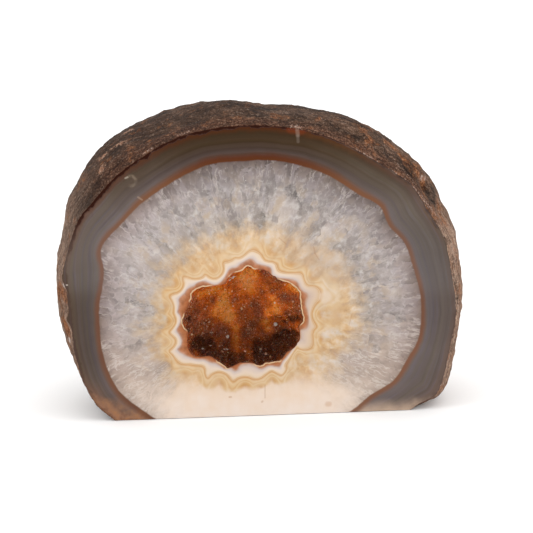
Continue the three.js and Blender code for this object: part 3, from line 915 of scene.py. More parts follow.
# %% Where a point lies in the chalcedony
SIDE_BANDS = [
    (0.0, "5c483c"), (0.05, "584539"), (0.12, "5d4b41"), (0.19, "594b42"), (0.24, "4f433d"),
    (0.29, "5c5049"), (0.43, "594d45"), (0.47, "4e433d"), (0.51, "5c5049"), (0.62, "5b4f4a"),
    (0.66, "504648"), (0.71, "5f5451"), (0.84, "625856"), (0.92, "665b5a"), (1.0, "675a58"),
]
CROWN_BANDS = [
    (0.0, "37160b"), (0.05, "422011"), (0.1, "462816"), (0.16, "412b19"), (0.22, "3c2c1b"),
    (0.3, "423020"), (0.36, "463424"), (0.43, "42301e"), (0.47, "3d2c1b"), (0.52, "453528"),
    (0.6, "47372d"), (0.64, "43332a"), (0.72, "4c3d36"), (0.85, "52433e"), (1.0, "574844"),
]
CALM_BANDS = [(0.0, "5a463a"), (0.3, "584a42"), (0.6, "5a4f4a"), (1.0, "675a58")]


def skin_map(f):
    """Depth in the skin (0 at the sawn edge, 1 at the rust line) and how far up and right."""
    c = SimpleNamespace(x=f.part(f.place, 0), z=f.part(f.place, 2), skin=f.measure("skin"))
    waver = f.noise(14, 2.0)
    depth = f.between(c.skin, f.most(f.measure("rust"), 0.02))
    c.depth = f.jitter(f.lift(waver, 0.06, f.less(depth, 0.03)), 0.07, 6)
    c.crown = f.ease(f.lift(waver, 14, c.z), 64, 96)
    c.right = f.ease(c.x, -10, 40)
    along = {0: f.product(c.depth, 8), 1: f.product(c.x, 0.012), 2: f.product(c.z, 0.012)}
    c.layered = f.node("CombineXYZ", along)
    return c


print("bands at the sides and at the top:", len(SIDE_BANDS), len(CROWN_BANDS))

# %% Colour and tone of its bands
def band_colours(f, c):
    """Grey bands down the sides, brown and olive ones under the crown."""
    side, crown, plain = (f.ramp(c.depth, bands) for bands in (SIDE_BANDS, CROWN_BANDS, CALM_BANDS))
    low_left = f.product(f.ease(c.x, -20, -40), f.ease(c.z, 52, 38), 0.7)
    calm = f.most(f.ease(f.noise(7, 2.0), 0.4, 0.6, 0.1, 0.6), low_left)
    colour = f.mix(c.crown, f.mix(calm, side, plain), crown)
    olive_noise = f.noise(0.7, 2.0, at=f.vector("ADD", c.layered, (5, 0, 0)))
    olive = f.ease(olive_noise, 0.47, 0.6, 0.0, 0.36)
    colour = f.over(colour, f.mix(c.crown, paint("5d5443"), paint("3c301d")), olive)
    violet_noise = f.noise(0.6, 2.0, at=f.vector("ADD", c.layered, (11, 0, 0)))
    violet = f.ease(violet_noise, 0.5, 0.62, 0.0, 0.3)
    colour = f.over(colour, "5f5762", violet, f.less(1.0, c.crown), f.less(1.15, calm))
    colour = f.over(colour, "615b5c", c.right, f.ease(c.z, 64, 46), 0.28)
    middle = f.ease(c.depth, 0.1, 0.35), f.ease(c.depth, 0.9, 0.5)
    return f.over(colour, "635a4a", f.ease(c.x, 8, 34), f.ease(c.z, 46, 62), *middle, 0.18)


def band_tones(f, c):
    """How light the skin is: fine streaks along the bands, then broad zones. The crown is darker in
    its own colour, while the foot and the right side are lighter as painted light, lit from below
    and from the right.
    """
    tone = f.ease(f.noise(1, 3.0, 0.55, at=c.layered), 0.3, 0.7, 0.94, 1.06)
    tone = f.product(tone, f.lift(f.noise(5, 4.0), 0.14, 0.93))
    # Painted light: the foot is lighter, most of all on the right, and higher up the middle is
    # lighter than the right margin.
    foot = f.ease(c.z, 6, 34, 1.0, 0.0)
    painted_light_zones = f.lift(foot, f.lift(c.right, 0.22, 0.12), f.ease(c.x, 20, 46, 1.12, 1.0))
    tone = f.product(tone, painted_light_zones)
    left_shoulder = f.product(f.ease(c.x, -20, -40), f.ease(c.z, 48, 60))
    margins = f.product(f.ease(c.x, -56, -44, 0.94, 1.0), f.ease(c.x, 40, 54, 1.0, 0.96))
    tone = f.product(tone, f.lift(left_shoulder, 0.1, margins))
    # More painted light: the right shoulder is lighter, and at mid height the right side is lighter
    # and the left darker.
    lit_right_shoulder = f.lift(f.product(c.right, f.ease(c.z, 58, 70)), 0.14, 1.0)
    tone = f.product(tone, lit_right_shoulder, f.ease(c.crown, 0.2, 1.0, 1.0, 0.88))
    waist = f.product(f.ease(c.z, 52, 34), f.ease(c.z, 10, 22))
    return f.product(tone, f.lift(f.product(waist, f.ease(c.x, -20, 20, -1.0, 1.0)), 0.15, 1.0))


# %% Its stained corners and broken outer edge
def stained_corners(f, c, colour):
    """Brown that soaked in low on the left, and tan at both lower corners."""
    low = f.ease(f.lift(f.noise(9, 3.0), 14, c.z), 8, 24, 1.0, 0.0)
    outer = f.ease(f.lift(f.noise(4, 3.0), 0.5, c.depth), 0.35, 0.85, 0.8, 0.12)
    colour = f.over(colour, "8a6350", low, outer, f.ease(c.x, -20, 40, 1.0, 0.08))
    ragged = f.product(f.noise(5, 4.0), f.ease(c.x, -20, 20, 13.0, 4.0))
    inwards = f.product(c.skin, f.ease(c.x, -20, 20, 0.5, 0.1))
    height = f.total(ragged, c.z, f.ease(c.x, -20, 20, -6.0, 3.6), inwards)
    corner = f.ease(height, 4.0, 11.0, 1.0, 0.0)
    tan = f.ramp(f.noise(2.4, 4.0, 0.6), [(0.36, "8c634d"), (0.5, "9f7459"), (0.64, "ac7a54")])
    return f.over(colour, f.mix(f.ease(c.x, -20, 20), tan, paint("dcbfa6")), corner, 0.85)


def chalcedony(f):
    """The whole skin, and how well it is polished: its outermost strip broke away, and it is
    painted nearly black, as chipped unpolished stone and as painted shade in the crevice along the
    edge.
    """
    c = skin_map(f)
    colour = stained_corners(f, c, f.tinted(band_colours(f, c), band_tones(f, c)))
    edge = f.lift(f.noise(3.4, 5.0, 0.65), 3.8, f.less(c.skin, f.ease(c.x, -24, 4, 2.75, 2.35)))
    red = f.ease(edge, 0.1, 2.4, 0.54, 0.0), f.ease(c.z, 50, 66), f.ease(c.x, 8, 40, 1.0, 0.4)
    colour = f.over(colour, f.mix(f.ease(c.x, 0, 30), paint("55290f"), paint("664626")), *red)
    # The broken strip is unpolished stone; its dark colour is also painted shade of the crevice
    # under the rind.
    shoulders = f.product(f.ease(c.z, 52, 68, 0.3, 1.0), f.ease(c.x, 0, 34, 1.0, 0.6))
    broken = f.product(f.ease(edge, -0.25, 0.45, 1.0, 0.0), shoulders)
    return f.over(colour, "2e1107", broken, 0.97), f.less(1.0, broken)


print("the outer strip of the skin is broken away, the rest is polished")

# %% [markdown]
# ## Grey quartz
#
# Inside the rust line the bubble filled with quartz. Its crystals all grew towards
# the middle, so the cut shows long cells with pale borders and smoky hearts. Real
# crystals could be modelled one by one, but under the polish they are only colour.
# Cells of a Voronoi texture do the same work once space is stretched along the
# lines that meet in the hollow. Low down the quartz is milky, with white strands.

# %% Stretched space and cut-looking cells
def drawn_out(f, point, pull):
    """Space stretched along lines from the hollow, so that cells in it come out long."""
    from_middle = f.vector("SUBTRACT", point, (HOLLOW_AXIS[0], 0, HOLLOW_AXIS[1]))
    radius = f.vector("LENGTH", from_middle, result=1)
    return f.scaled(f.vector("NORMALIZE", from_middle), f.math("POWER", radius, pull))


def facets(f, space, size):
    """Cells that look cut: each has its own value and its own slope, about -0.5 to 0.5."""
    _, own, seed = f.cells(space, size)
    slant = f.vector("MULTIPLY_ADD", own, (2, 2, 2), (-1, -1, -1))
    step = f.scaled(f.vector("SUBTRACT", space, seed), 1 / size)
    slope = f.vector("DOT_PRODUCT", step, slant, result=1)
    return f.lift(f.part(own, 1), 0.6, f.less(slope, 0.3))


def shaken(f, point, size, reach):
    """The point moved about by noise, so that what is drawn there gets ragged."""
    push = f.vector("SUBTRACT", f.noise(size, 3.0, 0.6, result=1), (0.5, 0.5, 0.5))
    return f.vector("ADD", point, f.scaled(push, reach * 2))


# %% Where a point lies in the quartz
WIDE, BIG, SMALL, FINE = 0.62, 0.5, 0.2, 0.09  # sizes of the cells, in stretched space
QUARTZ_SHADES = [
    (0.0, "7b6a62"), (0.03, "867671"), (0.09, "988a86"), (0.15, "a39693"), (0.22, "aa9f9b"),
    (0.38, "afa39d"), (0.55, "b1a499"), (1.0, "b4a696"),
]


def quartz_map(f):
    """The stretched spaces, the depth in the quartz, and the cells that several steps share."""
    q = SimpleNamespace(x=f.part(f.place, 0), z=f.part(f.place, 2))
    place = shaken(f, f.place, 6, 2.4)
    q.space = drawn_out(f, place, 0.42)
    q.ragged = drawn_out(f, shaken(f, place, 1.6, 0.7), 0.42)
    q.wide_space = drawn_out(f, shaken(f, f.place, 9, 3.0), 0.3)
    q.inside = f.product(f.measure("rust"), -1.0)
    q.low = f.ease(q.z, 2, 38, 1.0, 0.0)
    depth = f.jitter(q.inside, 8, 8, 2.0)
    q.young = f.ease(depth, 5, 11)
    q.inner = f.product(f.ease(depth, 7, 15), f.ease(q.z, 30, 44))
    q.big = facets(f, q.space, BIG)
    q.small = facets(f, q.ragged, SMALL)
    return q


print("shades from the rust line to the cream:", len(QUARTZ_SHADES))

# %% Its tone and its tints
def quartz_tone(f, q):
    """Light and dark cells of four sizes, with noise over them and a darker crown."""
    strength = f.ease(q.low, 0.0, 1.0, 1.06, 0.5), f.ease(q.inner, 0, 1, 1, 0.6)
    tone = f.lift(f.product(q.big, q.young, *strength), 0.44, 1.0)
    tone = f.lift(f.product(facets(f, q.wide_space, WIDE), q.inner), 0.36, tone)
    fading = f.product(q.young, -0.06), f.product(q.low, -0.19), f.product(q.inner, -0.1)
    tone = f.lift(q.small, f.total(*fading, 0.33), tone)
    tone = f.lift(facets(f, q.ragged, FINE), 0.09, tone)
    tone = f.lift(f.less(f.noise(0.6, 3.0, 0.7), 0.5), 0.14, tone)
    tone = f.lift(f.less(f.noise(7, 3.0), 0.5), f.lift(q.low, -0.16, 0.26), tone)
    crown = f.ease(f.lift(q.x, 0.2, q.z), 56, 74)
    shade = f.product(crown, f.ease(q.inside, 5, 16, 0.3, 0.1))
    return f.product(tone, f.less(f.ease(q.x, -50, -20, 1.08, 1.0), shade))


def quartz_tints(f, q, colour):
    """Warm and cool patches."""
    warm = f.ease(f.lift(q.big, 0.25, f.noise(4, 3.0)), 0.5, 0.66)
    colour = f.over(colour, "b9a38a", warm, f.ease(q.inside, 2, 16, 0.08, 0.65))
    cool = f.ease(f.lift(q.small, 0.3, f.noise(5, 3.0)), 0.5, 0.66)
    return f.over(colour, "a29a9f", cool, f.ease(q.inside, 2, 10, 0.2, 0.35))


# %% Its pale borders, smoky hearts and milky foot
def ridge(f, space, size, width, strength):
    """Pale borders between cells."""
    return f.ease(f.cells(space, size, "DISTANCE_TO_EDGE")[0], 0.0, width, strength, 0.0)


def frosted(f, q, colour):
    """Pale borders along the cells, broken up by noise."""
    big = f.product(ridge(f, q.ragged, BIG, 0.12, 1.0), q.young, f.ease(q.inner, 0, 1, 1, 0.5))
    ridges = f.most(big, f.product(ridge(f, q.wide_space, WIDE, 0.14, 1.0), q.inner))
    reach = f.ease(q.inside, 1.5, 5), f.ease(q.low, 0.2, 0.8, 1.0, 0.35)
    frost = f.most(ridges, f.product(ridge(f, q.ragged, SMALL, 0.15, 0.6), *reach))
    return f.over(colour, "d3ccc7", frost, f.ease(f.noise(2.4, 3.0, 0.6), 0.42, 0.68), 0.7)


def heart(f, space, size, near, chosen):
    """Dark middles of some of the cells."""
    away, own, _ = f.cells(space, size)
    return f.ease(away, near, near + 0.4, 1.0, 0.0), f.ease(f.part(own, 2), chosen, 0.6)


def smoky(f, q, colour):
    """Smoky hearts, and the smoky patches that were placed one by one."""
    hearts = f.product(*heart(f, q.space, BIG, 0.12, 0.4), q.young)
    wide_hearts = f.product(*heart(f, q.wide_space, WIDE, 0.1, 0.35), q.inner)
    dark = f.most(f.product(hearts, f.ease(q.inner, 0, 1, 0.42, 0.25)), f.product(wide_hearts, 0.4))
    cloud = f.lift(q.big, 0.5, f.lift(q.small, 0.8, f.measure("smoke")))
    return f.over(colour, "7f7470", f.most(dark, f.product(f.ease(cloud, 0.35, 1.0), 0.6)))


def milky(f, q, colour, tone):
    """The milky foot with its white strands, and a little sparkle everywhere."""
    milk = f.mix(f.ease(q.z, 3, 17, 1.0, 0.0), paint("bca797"), paint("e2cfbf"))
    colour = f.over(colour, f.tinted(milk, tone), q.low, f.ease(q.inside, 0.3, 5, 0.6, 1.0), 0.86)
    strand_space = drawn_out(f, shaken(f, f.place, 5, 1.6), 0.1)
    strand = f.ease(f.gap(f.noise(0.055, 2.0, 0.6, at=strand_space), 0.5), 0.0, 0.07, 1.0, 0.0)
    where = f.ease(f.lift(q.low, 0.14, f.noise(5, 3.0)), 0.47, 0.62)
    colour = f.over(colour, "dfd3c9", strand, where, f.ease(q.low, 0.0, 0.6, 0.3, 0.5))
    sparkle = f.product(f.ease(f.noise(0.45, 2.0), 0.62, 0.74), f.ease(f.noise(3, 2.0), 0.5, 0.64))
    depth = f.ease(q.inside, 5, 14, 0.7, 0.15), f.ease(q.inside, 0.5, 2.0)
    return f.over(colour, "e6e0dc", sparkle, *depth)


def quartz(f):
    q = quartz_map(f)
    tone = quartz_tone(f, q)
    colour = f.tinted(f.ramp(f.math("DIVIDE", q.inside, 34), QUARTZ_SHADES), tone)
    return milky(f, q, smoky(f, q, frosted(f, q, quartz_tints(f, q, colour))), tone)


print("sizes of the quartz cells in stretched space:", WIDE, BIG, SMALL, FINE)

# %% [markdown]
# ## Cream, white and rust round the hollow
#
# The last coats before the crystals are cream and wavy: each wave is a little dome that grew from
# its own seed. Lines drawn one by one would need hundreds of points. A ring at a share of the way
# from its seed to the white band follows both, so one ramp along that share draws all of them. Then
# come the white band, a clear rust layer, and a painted highlight at the rim: a thin pale line
# where its chipped edge catches the light.

# %% The cream itself
def warmed(f, colour):
    """Cream, a little redder on the left and a little paler on the right."""
    x = f.part(f.place, 0)
    return f.tinted(colour, 1.0, f.ease(x, -15, 15, 0.955, 1.01), f.ease(x, -15, 15, 0.91, 1.07))


def cream_body(f):
    """Soft plumes in honey and pale cream, milkier towards the base."""
    x, z = f.part(f.place, 0), f.part(f.place, 2)
    plume = f.noise(0.42, 3.0, 0.55, at=drawn_out(f, shaken(f, f.place, 4, 1.8), 0.4))
    space = drawn_out(f, shaken(f, f.place, 4, 1.6), 0.6)
    body = f.ramp(f.total(f.product(plume, 0.55), f.product(f.noise(3.2, 4.0, 0.6), 0.45)), [
        (0.34, "bb9472"), (0.43, "cfa878"), (0.5, "d9ba92"), (0.57, "dcc6ab"), (0.66, "dacdbd"),
    ])
    body = f.over(body, "b7a08a", f.ease(x, -4, 14), f.ease(z, 36, 48), 0.5)
    rounded = f.ease(f.cells(space, 0.85)[0], 0.1, 0.75, 1.04, 0.92)
    body = f.tinted(body, f.lift(facets(f, space, 0.5), 0.07, rounded))
    body = warmed(f, f.tinted(body, f.ease(x, -30, -24, 0.9, 1.0)))
    low = f.ease(f.lift(f.noise(6, 3.0), 6, z), 9, 20, 1.0, 0.0)
    milk = f.ramp(f.lift(f.noise(4, 4.0), 0.5, f.lift(z, -0.02, 0.25)), [
        (0.1, "e9ceb2"), (0.32, "ecd6c2"), (0.5, "eeddcf"), (0.7, "f1e3d9"),
    ])
    return f.mix(low, body, milk), low, plume


# %% Its wavy rings
PALE_RINGS = [
    (0.0, "cba881"), (0.2, "d3b690"), (0.38, "d9c09c"), (0.46, "dfcbaf"), (0.54, "dabf99"),
    (0.62, "dec9ad"), (0.72, "dfcaae"), (0.79, "d9ba91"), (0.85, "d1ab80"), (0.885, "caa377"),
    (0.92, "dcc3a3"), (0.965, "d0ad84"), (1.0, "dec4a4"),
]
HONEY_RINGS = [
    (0.0, "c1915a"), (0.2, "cb9e67"), (0.38, "d2ab76"), (0.46, "dabd93"), (0.54, "cfa571"),
    (0.62, "d8b787"), (0.72, "dbc099"), (0.79, "d2a872"), (0.85, "ca9d69"), (0.885, "c19362"),
    (0.92, "dbbc95"), (0.965, "cba071"), (1.0, "dcbc95"),
]


def wavy_rings(f, colour, white, body, low):
    """Rings that follow the seeds' domes on one side and the white band on the other."""
    outside = f.most(white, 0.0)
    growth = f.jitter(f.between(f.measure("scallop"), outside, 0.05), 0.1, 2.6, 2.0)
    ringed = f.mix(f.measure("honey"), f.ramp(growth, PALE_RINGS), f.ramp(growth, HONEY_RINGS))
    ringed = warmed(f, f.tinted(ringed, f.lift(f.noise(1.8, 4.0), 0.14, 0.94)))
    faint = f.ease(f.noise(4, 3.0), 0.38, 0.6, 0.45, 0.0), f.ease(growth, 0.7, 0.95, 1.0, 0.0)
    ringed = f.over(ringed, f.mix(low, body, paint("d8bb92")), *faint)
    beyond = f.jitter(f.math("DIVIDE", outside, f.most(f.measure("dome"), 1.0)), 0.5, 2.5)
    colour = f.over(colour, ringed, f.ease(beyond, 0.75, 1.3, 1.0, 0.0))
    pale_spot = f.ease(f.lift(f.noise(2), 1.5, f.away((18, 0, 38.3))), 1.8, 3.8, 0.6, 0.0)
    return f.over(colour, "e2cfbc", pale_spot)


print("rings in the cream:", len(PALE_RINGS), "pale and", len(HONEY_RINGS), "honey-coloured")

# %% White band, rust layer and painted rim highlight
WHITE_SHADES = [
    (0.0, "dcbf9e"), (0.14, "e2cbb0"), (0.36, "e3cebb"), (0.56, "dac7b9"), (0.76, "d0beb6"),
    (0.9, "c5aea2"), (1.0, "bf9f8b"),
]
STAIN_SHADES = [
    (0.0, "ba8c74"), (0.25, "b57956"), (0.5, "ab6a43"), (0.75, "a46038"), (1.0, "8e4c2b"),
]


def rim_layers(f, colour, white):
    """The white band, the clear rust layer inside it, and a painted highlight: the pale lip where
    the hollow's chipped rim catches the light.
    """
    stain, rim = f.measure("stain"), f.measure("out_of_hollow")
    across = f.between(f.most(f.product(white, -1.0), 0.0), f.most(stain, 0.0), 0.02)
    band = f.ramp(f.jitter(across, 0.3, 2.0, 2.0), WHITE_SHADES)
    band = f.over(band, "c4a182", f.ease(f.part(f.place, 0), 4, 15, 0.0, 0.4))
    colour = f.over(colour, band, f.ease(white, -0.22, 0.14, 1.0, 0.0))
    across = f.between(f.most(f.product(stain, -1.0), 0.0), f.most(rim, 0.0), 0.02)
    layer = f.ramp(f.jitter(across, 0.8, 1.6), STAIN_SHADES)
    layer = f.tinted(layer, f.ease(f.noise(1.7, 4.0, 0.6), 0.32, 0.68, 0.8, 1.16))
    colour = f.over(colour, layer, f.ease(stain, -0.42, 0.3, 0.95, 0.0))
    # Painted highlight: a thin pale line along the rim's edge, as bright as the table says.
    bright = f.ease(f.lift(f.noise(2.5), 0.5, f.measure("rim_highlight")), 0.5, 0.95)
    narrow = f.ease(f.jitter(rim, 0.5, 1.2), 0.25, 0.5, 1.0, 0.0)
    return f.over(colour, "dcbb94", narrow, bright, 0.9)


def cream_bands(f, grey):
    """Cream over the quartz, and all that lies between it and the hollow."""
    body, low, plume = cream_body(f)
    edge = f.jitter(f.measure("cream"), 7.0, 4, 4.0, 0.6)
    edge = f.lift(f.less(plume, 0.5), 16, edge)
    colour = f.over(grey, body, f.ease(edge, f.lift(low, -5.0, -4.0), 4.0))
    white = f.measure("white")
    return rim_layers(f, wavy_rings(f, colour, white, body, low), white)


print("shades:", len(WHITE_SHADES), "in the white band and", len(STAIN_SHADES), "in the rust layer")

# %% [markdown]
# ## The whole cut
#
# The rust line parts the skin from the quartz. It is crisp on the quartz side and
# soft on the other, because iron soaked outwards into the chalcedony. A few single
# marks follow: hairlines, a nick at the top and a small crescent flaw. The base is
# the same stone, only sawn and not polished, so it wears the same recipe, duller.

# %% Rust line
def rust_line_paint(f, x, z):
    """Colour and strength of the rust line, and where it changes over to the quartz."""
    band = f.jitter(f.measure("rust"), 0.5, 3.0, 2.0)
    colour = f.ramp(f.noise(9, 3.0), [(0.3, "6c4634"), (0.5, "724b37"), (0.7, "784f38")])
    colour = f.over(colour, "8c5d42", f.ease(x, 10, 26), f.ease(z, 34, 18), 0.6)
    colour = f.over(colour, "75482a", f.ease(z, 44, 74))
    colour = f.over(colour, "562400", f.ease(z, 72, 86))
    width = f.product(f.ease(z, 60, 86, 1.0, 1.75), f.ease(z, 14, 26, 1.25, 1.0))
    width = f.lift(f.noise(8, 2.0), 0.7, width)
    strength = f.less(1.0, f.ease(f.math("DIVIDE", band, width), 0.35, 1.5))
    return colour, f.product(strength, f.ease(z, 50, 78, 0.84, 0.96)), f.ease(band, -0.42, 0.12)


# %% Single marks
HAIRLINES = [  # start, end, width in mm, strength, colour
    ((-1.4, 10), (-1.4, 5.7), 0.3, 0.3, "a5764c"), ((3.1, 57.9), (5.4, 55.8), 0.3, 0.3, "a5764c"),
    ((8.5, 54.9), (8.1, 53.3), 0.25, 0.25, "a5764c"),
    ((14.1, 54.8), (14.6, 52.6), 0.3, 0.35, "a5764c"),
    ((14.6, 52.6), (15.9, 50.6), 0.3, 0.35, "a5764c"),
    ((26.7, 32.6), (25.8, 29), 0.3, 0.25, "b08460"),
    ((19.0, 2.9), (19.6, 2.9), 1.3, 0.35, "c08a58"), ((13, 14), (13.6, 13.6), 1.0, 0.3, "c08a58"),
    ((-12.9, 6.4), (-12.4, 6.4), 0.5, 0.4, "b07a4c"),
    ((-2.4, 4.4), (-2.2, 4.6), 0.5, 0.35, "b07a4c"),
]
NICKS = [
    ((6.6, 92.2), (10.2, 91.7), 1.9, 0.5, "7c3517"), ((8.7, 92), (8.9, 90.2), 0.9, 0.34, "a08a7a"),
    ((8.9, 90), (9.0, 88.2), 0.7, 0.2, "98887c"),
    # The pale speck at the left edge, at height 44, is a painted glint.
    ((-63.7, 44.4), (-63.4, 44.4), 0.32, 0.6, "d3c4b6"),
    ((-41, 71.6), (-39.8, 70.8), 0.4, 0.3, "c0a48c"),
    ((-38.4, 70.3), (-37.4, 71.1), 0.4, 0.25, "c0a48c"),
]
MOON = (-43.1, 76.7, 1.5)  # a small crescent flaw in the chalcedony: x, z, radius


def marked_with(f, colour, marks):
    for start, end, width, strength, code in marks:
        colour = f.over(colour, code, f.streak(start, end, width), strength)
    return colour


def crescent(f, colour):
    """A pale crescent, with a painted highlight: a small glint at its tip."""
    x, z, radius = MOON
    ring = f.ease(f.gap(f.away((x, 0, z)), radius), 0.15, 0.75, 1.0, 0.0)
    open_side = f.ease(f.away((x - 1.6, 0, z - 0.6)), 0.8, 2.2)
    patchy = f.ease(f.noise(1.4, 3.0), 0.38, 0.6, 0.35, 1.0)
    colour = f.over(colour, "96836f", f.product(ring, open_side, patchy), 0.42)
    # Painted highlight: a small glint at the crescent's tip.
    return f.over(colour, "b5a998", f.streak((x - 1.7, z + 0.9), (x - 1.0, z + 1.2), 0.4), 0.5)


print("hairlines:", len(HAIRLINES), "and nicks:", len(NICKS))

# %% Both cuts
FACE_LIGHT = 1.22  # how much white light the soft studio throws on the upright face


def cut_face(name, roughness, wash):
    """Every band of the cut. wash greys it, as an unpolished saw cut is."""
    f = Finish(name)
    inner = marked_with(f, cream_bands(f, quartz(f)), HAIRLINES)
    skin_colour, polish = chalcedony(f)
    rust_colour, strength, inside = rust_line_paint(f, f.part(f.place, 0), f.part(f.place, 2))
    colour = f.mix(inside, inner, f.mix(strength, skin_colour, rust_colour))
    colour = crescent(f, marked_with(f, colour, NICKS))
    colour = f.over(f.tinted(colour, 1 / FACE_LIGHT), "a89f98", wash)
    f.wear({
        "Base Color": colour,
        "Roughness": f.ease(polish, 0.2, 0.9, 0.7, roughness),
        "Specular IOR Level": f.lift(polish, 0.45, 0.05),
        "IOR": 1.54,
    })
    return f


polished_face = cut_face("polished_agate", 0.045, 0.0)
sawn_base = cut_face("sawn_agate", 0.62, 0.3)
print("nodes in the polished face:", len(polished_face.tree.nodes))

# %% [markdown]
# ## The rind
#
# The outside of a nodule is the lava's imprint: dark brown, grainy, grooved round
# the stone, with rusty patches and paler chips where it was knocked. Small relief
# in the mesh makes the outline; the finest grain is a bump in the finish, because
# a mesh fine enough for it would be far too heavy.

# %% Where a point lies on the rind
def rind_map(f):
    """Coordinates, a space whose noise runs in grooves, and the noises several steps share."""
    r = SimpleNamespace()
    r.x, r.depth, r.z = (f.part(f.place, k) for k in range(3))
    axis = (STONE_AXIS[0], 0, STONE_AXIS[1])
    around = f.vector("MULTIPLY", f.vector("SUBTRACT", f.place, axis), (1, 0, 1))
    ring = f.scaled(f.vector("NORMALIZE", around), 14.0)
    groove = f.vector("ADD", ring, f.node("CombineXYZ", {1: r.depth}))
    groove = f.vector("ADD", groove, f.scaled(f.noise(5, 3.0, result=1), 2.4))
    r.groove = f.vector("ADD", groove, f.scaled(f.place, f.ease(r.depth, 34, 54)))
    r.strands = f.noise(1.1, 5.0, 0.68, at=r.groove)
    r.grains = f.noise(0.7, 3.0, 0.75)
    broad = f.noise(8, 5.0, 0.65)
    shares = (r.strands, 0.34), (broad, 0.34), (r.grains, 0.32)
    r.mixed = f.total(*(f.product(noises, share) for noises, share in shares))
    return r


# %% Its brown ground, lighter at the sides
def rind_ground(f, r):
    colour = f.ramp(r.mixed, [
        (0.36, "21140d"), (0.43, "3a281e"), (0.49, "523c2e"), (0.55, "6c5242"), (0.61, "876b59"),
        (0.68, "a98d78"),
    ])
    wander = f.product(f.less(f.noise(24, 4.0, 0.6), 0.5), f.ease(r.depth, 8, 26, 10, 150))
    upwards = f.total(f.product(f.noise(12, 4.0), 30), r.z, wander)
    right = f.product(f.ease(r.x, 40, 60), f.ease(upwards, 92, 66))
    sides = f.most(right, f.ease(r.x, -66, -52, 0.75, 0.0))
    tan = f.total(f.product(r.strands, 0.5), f.product(r.grains, 0.5))
    tan = f.ramp(tan, [(0.38, "5f4433"), (0.47, "957561"), (0.6, "c9ab95")])
    left = f.lift(f.product(f.ease(r.x, -40, -56), f.ease(r.z, 60, 36)), 0.25, 1.0)
    tan = f.tinted(tan, f.product(f.ease(r.x, 40, 56, 1.0, 0.86), left))
    colour = f.over(colour, tan, sides, 0.85)
    under = f.product(f.ease(r.x, -48, -10, 1.0, 0.0), f.ease(r.z, 62, 76))
    shadowed = f.ramp(r.mixed, [(0.38, "302118"), (0.5, "463126"), (0.64, "6b5040")])
    colour = f.over(colour, shadowed, under, 0.6)
    return f.tinted(colour, f.ease(r.x, 8, 36, 1.0, 1.28))


# %% Reddish strip by the face, worn and sooty patches behind
def rind_patches(f, r, colour):
    close = f.product(f.lift(f.noise(2, 3.0), 2, r.depth), f.ease(r.x, -40, 0, 0.6, 1.0))
    middle = f.ease(f.math("ABSOLUTE", r.x), 58, 50)
    near_face = f.product(f.ease(close, 2.0, 5.5, 0.65, 0.0), middle)
    reddish = f.ramp(r.grains, [(0.36, "3c2015"), (0.5, "633e2c"), (0.64, "946a52")])
    colour = f.over(colour, f.tinted(reddish, f.ease(r.x, -44, -8, 0.8, 1.0)), near_face)
    behind = f.ease(r.depth, 16, 34)
    worn = f.product(behind, f.ease(f.noise(17, 5.0, 0.65), 0.5, 0.66))
    light = f.ramp(r.mixed, [(0.38, "5c4334"), (0.5, "8a6c58"), (0.62, "b69a85")])
    colour = f.over(colour, light, worn, 0.55)
    elsewhere = f.vector("ADD", f.place, (60, 0, 0))
    sooty = f.product(behind, f.ease(f.noise(13, 5.0, 0.65, at=elsewhere), 0.5, 0.64))
    return f.over(colour, f.ramp(r.mixed, [(0.38, "150d08"), (0.6, "3a2a20")]), sooty, 0.6)


# %% Its rust, creases, chips and specks
def rusted(f, r, colour):
    """Rust scattered everywhere, and the orange patches that were placed one by one."""
    rust = f.ramp(f.noise(0.9, 4.0, 0.7), [(0.34, "57290f"), (0.5, "975a33"), (0.66, "c79269")])
    patchy = f.noise(5, 5.0, 0.7)
    scattered = f.ease(f.total(patchy, f.ease(r.x, 0, 45, 0.0, 0.06)), 0.56, 0.68, 0.0, 0.6)
    colour = f.over(colour, rust, scattered)
    placed = f.ease(f.lift(patchy, 2.6, f.measure("rusty")), 1.75, 2.5, 0.0, 0.85)
    return f.over(colour, rust, placed)


def creased(f, r, colour):
    """Creases painted dark, which is painted shade in the grooves that the bump also sinks, and a
    few pale lines along the grooves; then light and dark grain, and painted shade in the listed
    hollows.
    """
    crease_noise = f.gap(f.noise(2.6, 4.0, 0.6, at=r.groove), 0.5)
    r.creases = f.ease(crease_noise, 0.0, 0.035, 1.0, 0.0)
    # Painted shade: the creases are painted dark as well as sunk by the bump.
    colour = f.over(colour, "1b100b", r.creases, f.ease(r.x, -30, 10, 0.4, 0.6))
    lines = f.ease(f.gap(f.noise(3.4, 3.0, 0.5, at=r.groove), 0.56), 0.0, 0.012, 1.0, 0.0)
    lines = f.product(lines, f.ease(f.noise(12, 2.0), 0.46, 0.58))
    colour = f.over(colour, "b89a86", lines, 0.35)
    darkest, lightest = f.ease(r.x, -30, 10, 0.72, 0.53), f.ease(r.x, -30, 10, 1.24, 1.54)
    grain_tone = f.ease(f.noise(0.42, 3.0, 0.8), 0.3, 0.7, darkest, lightest)
    # Painted shade in the pits and hollows that the shade marks list.
    hollows = f.lift(f.measure("shade"), f.ease(r.x, -20, 20, -0.36, -0.55), 1.0)
    return f.tinted(colour, f.product(grain_tone, hollows))


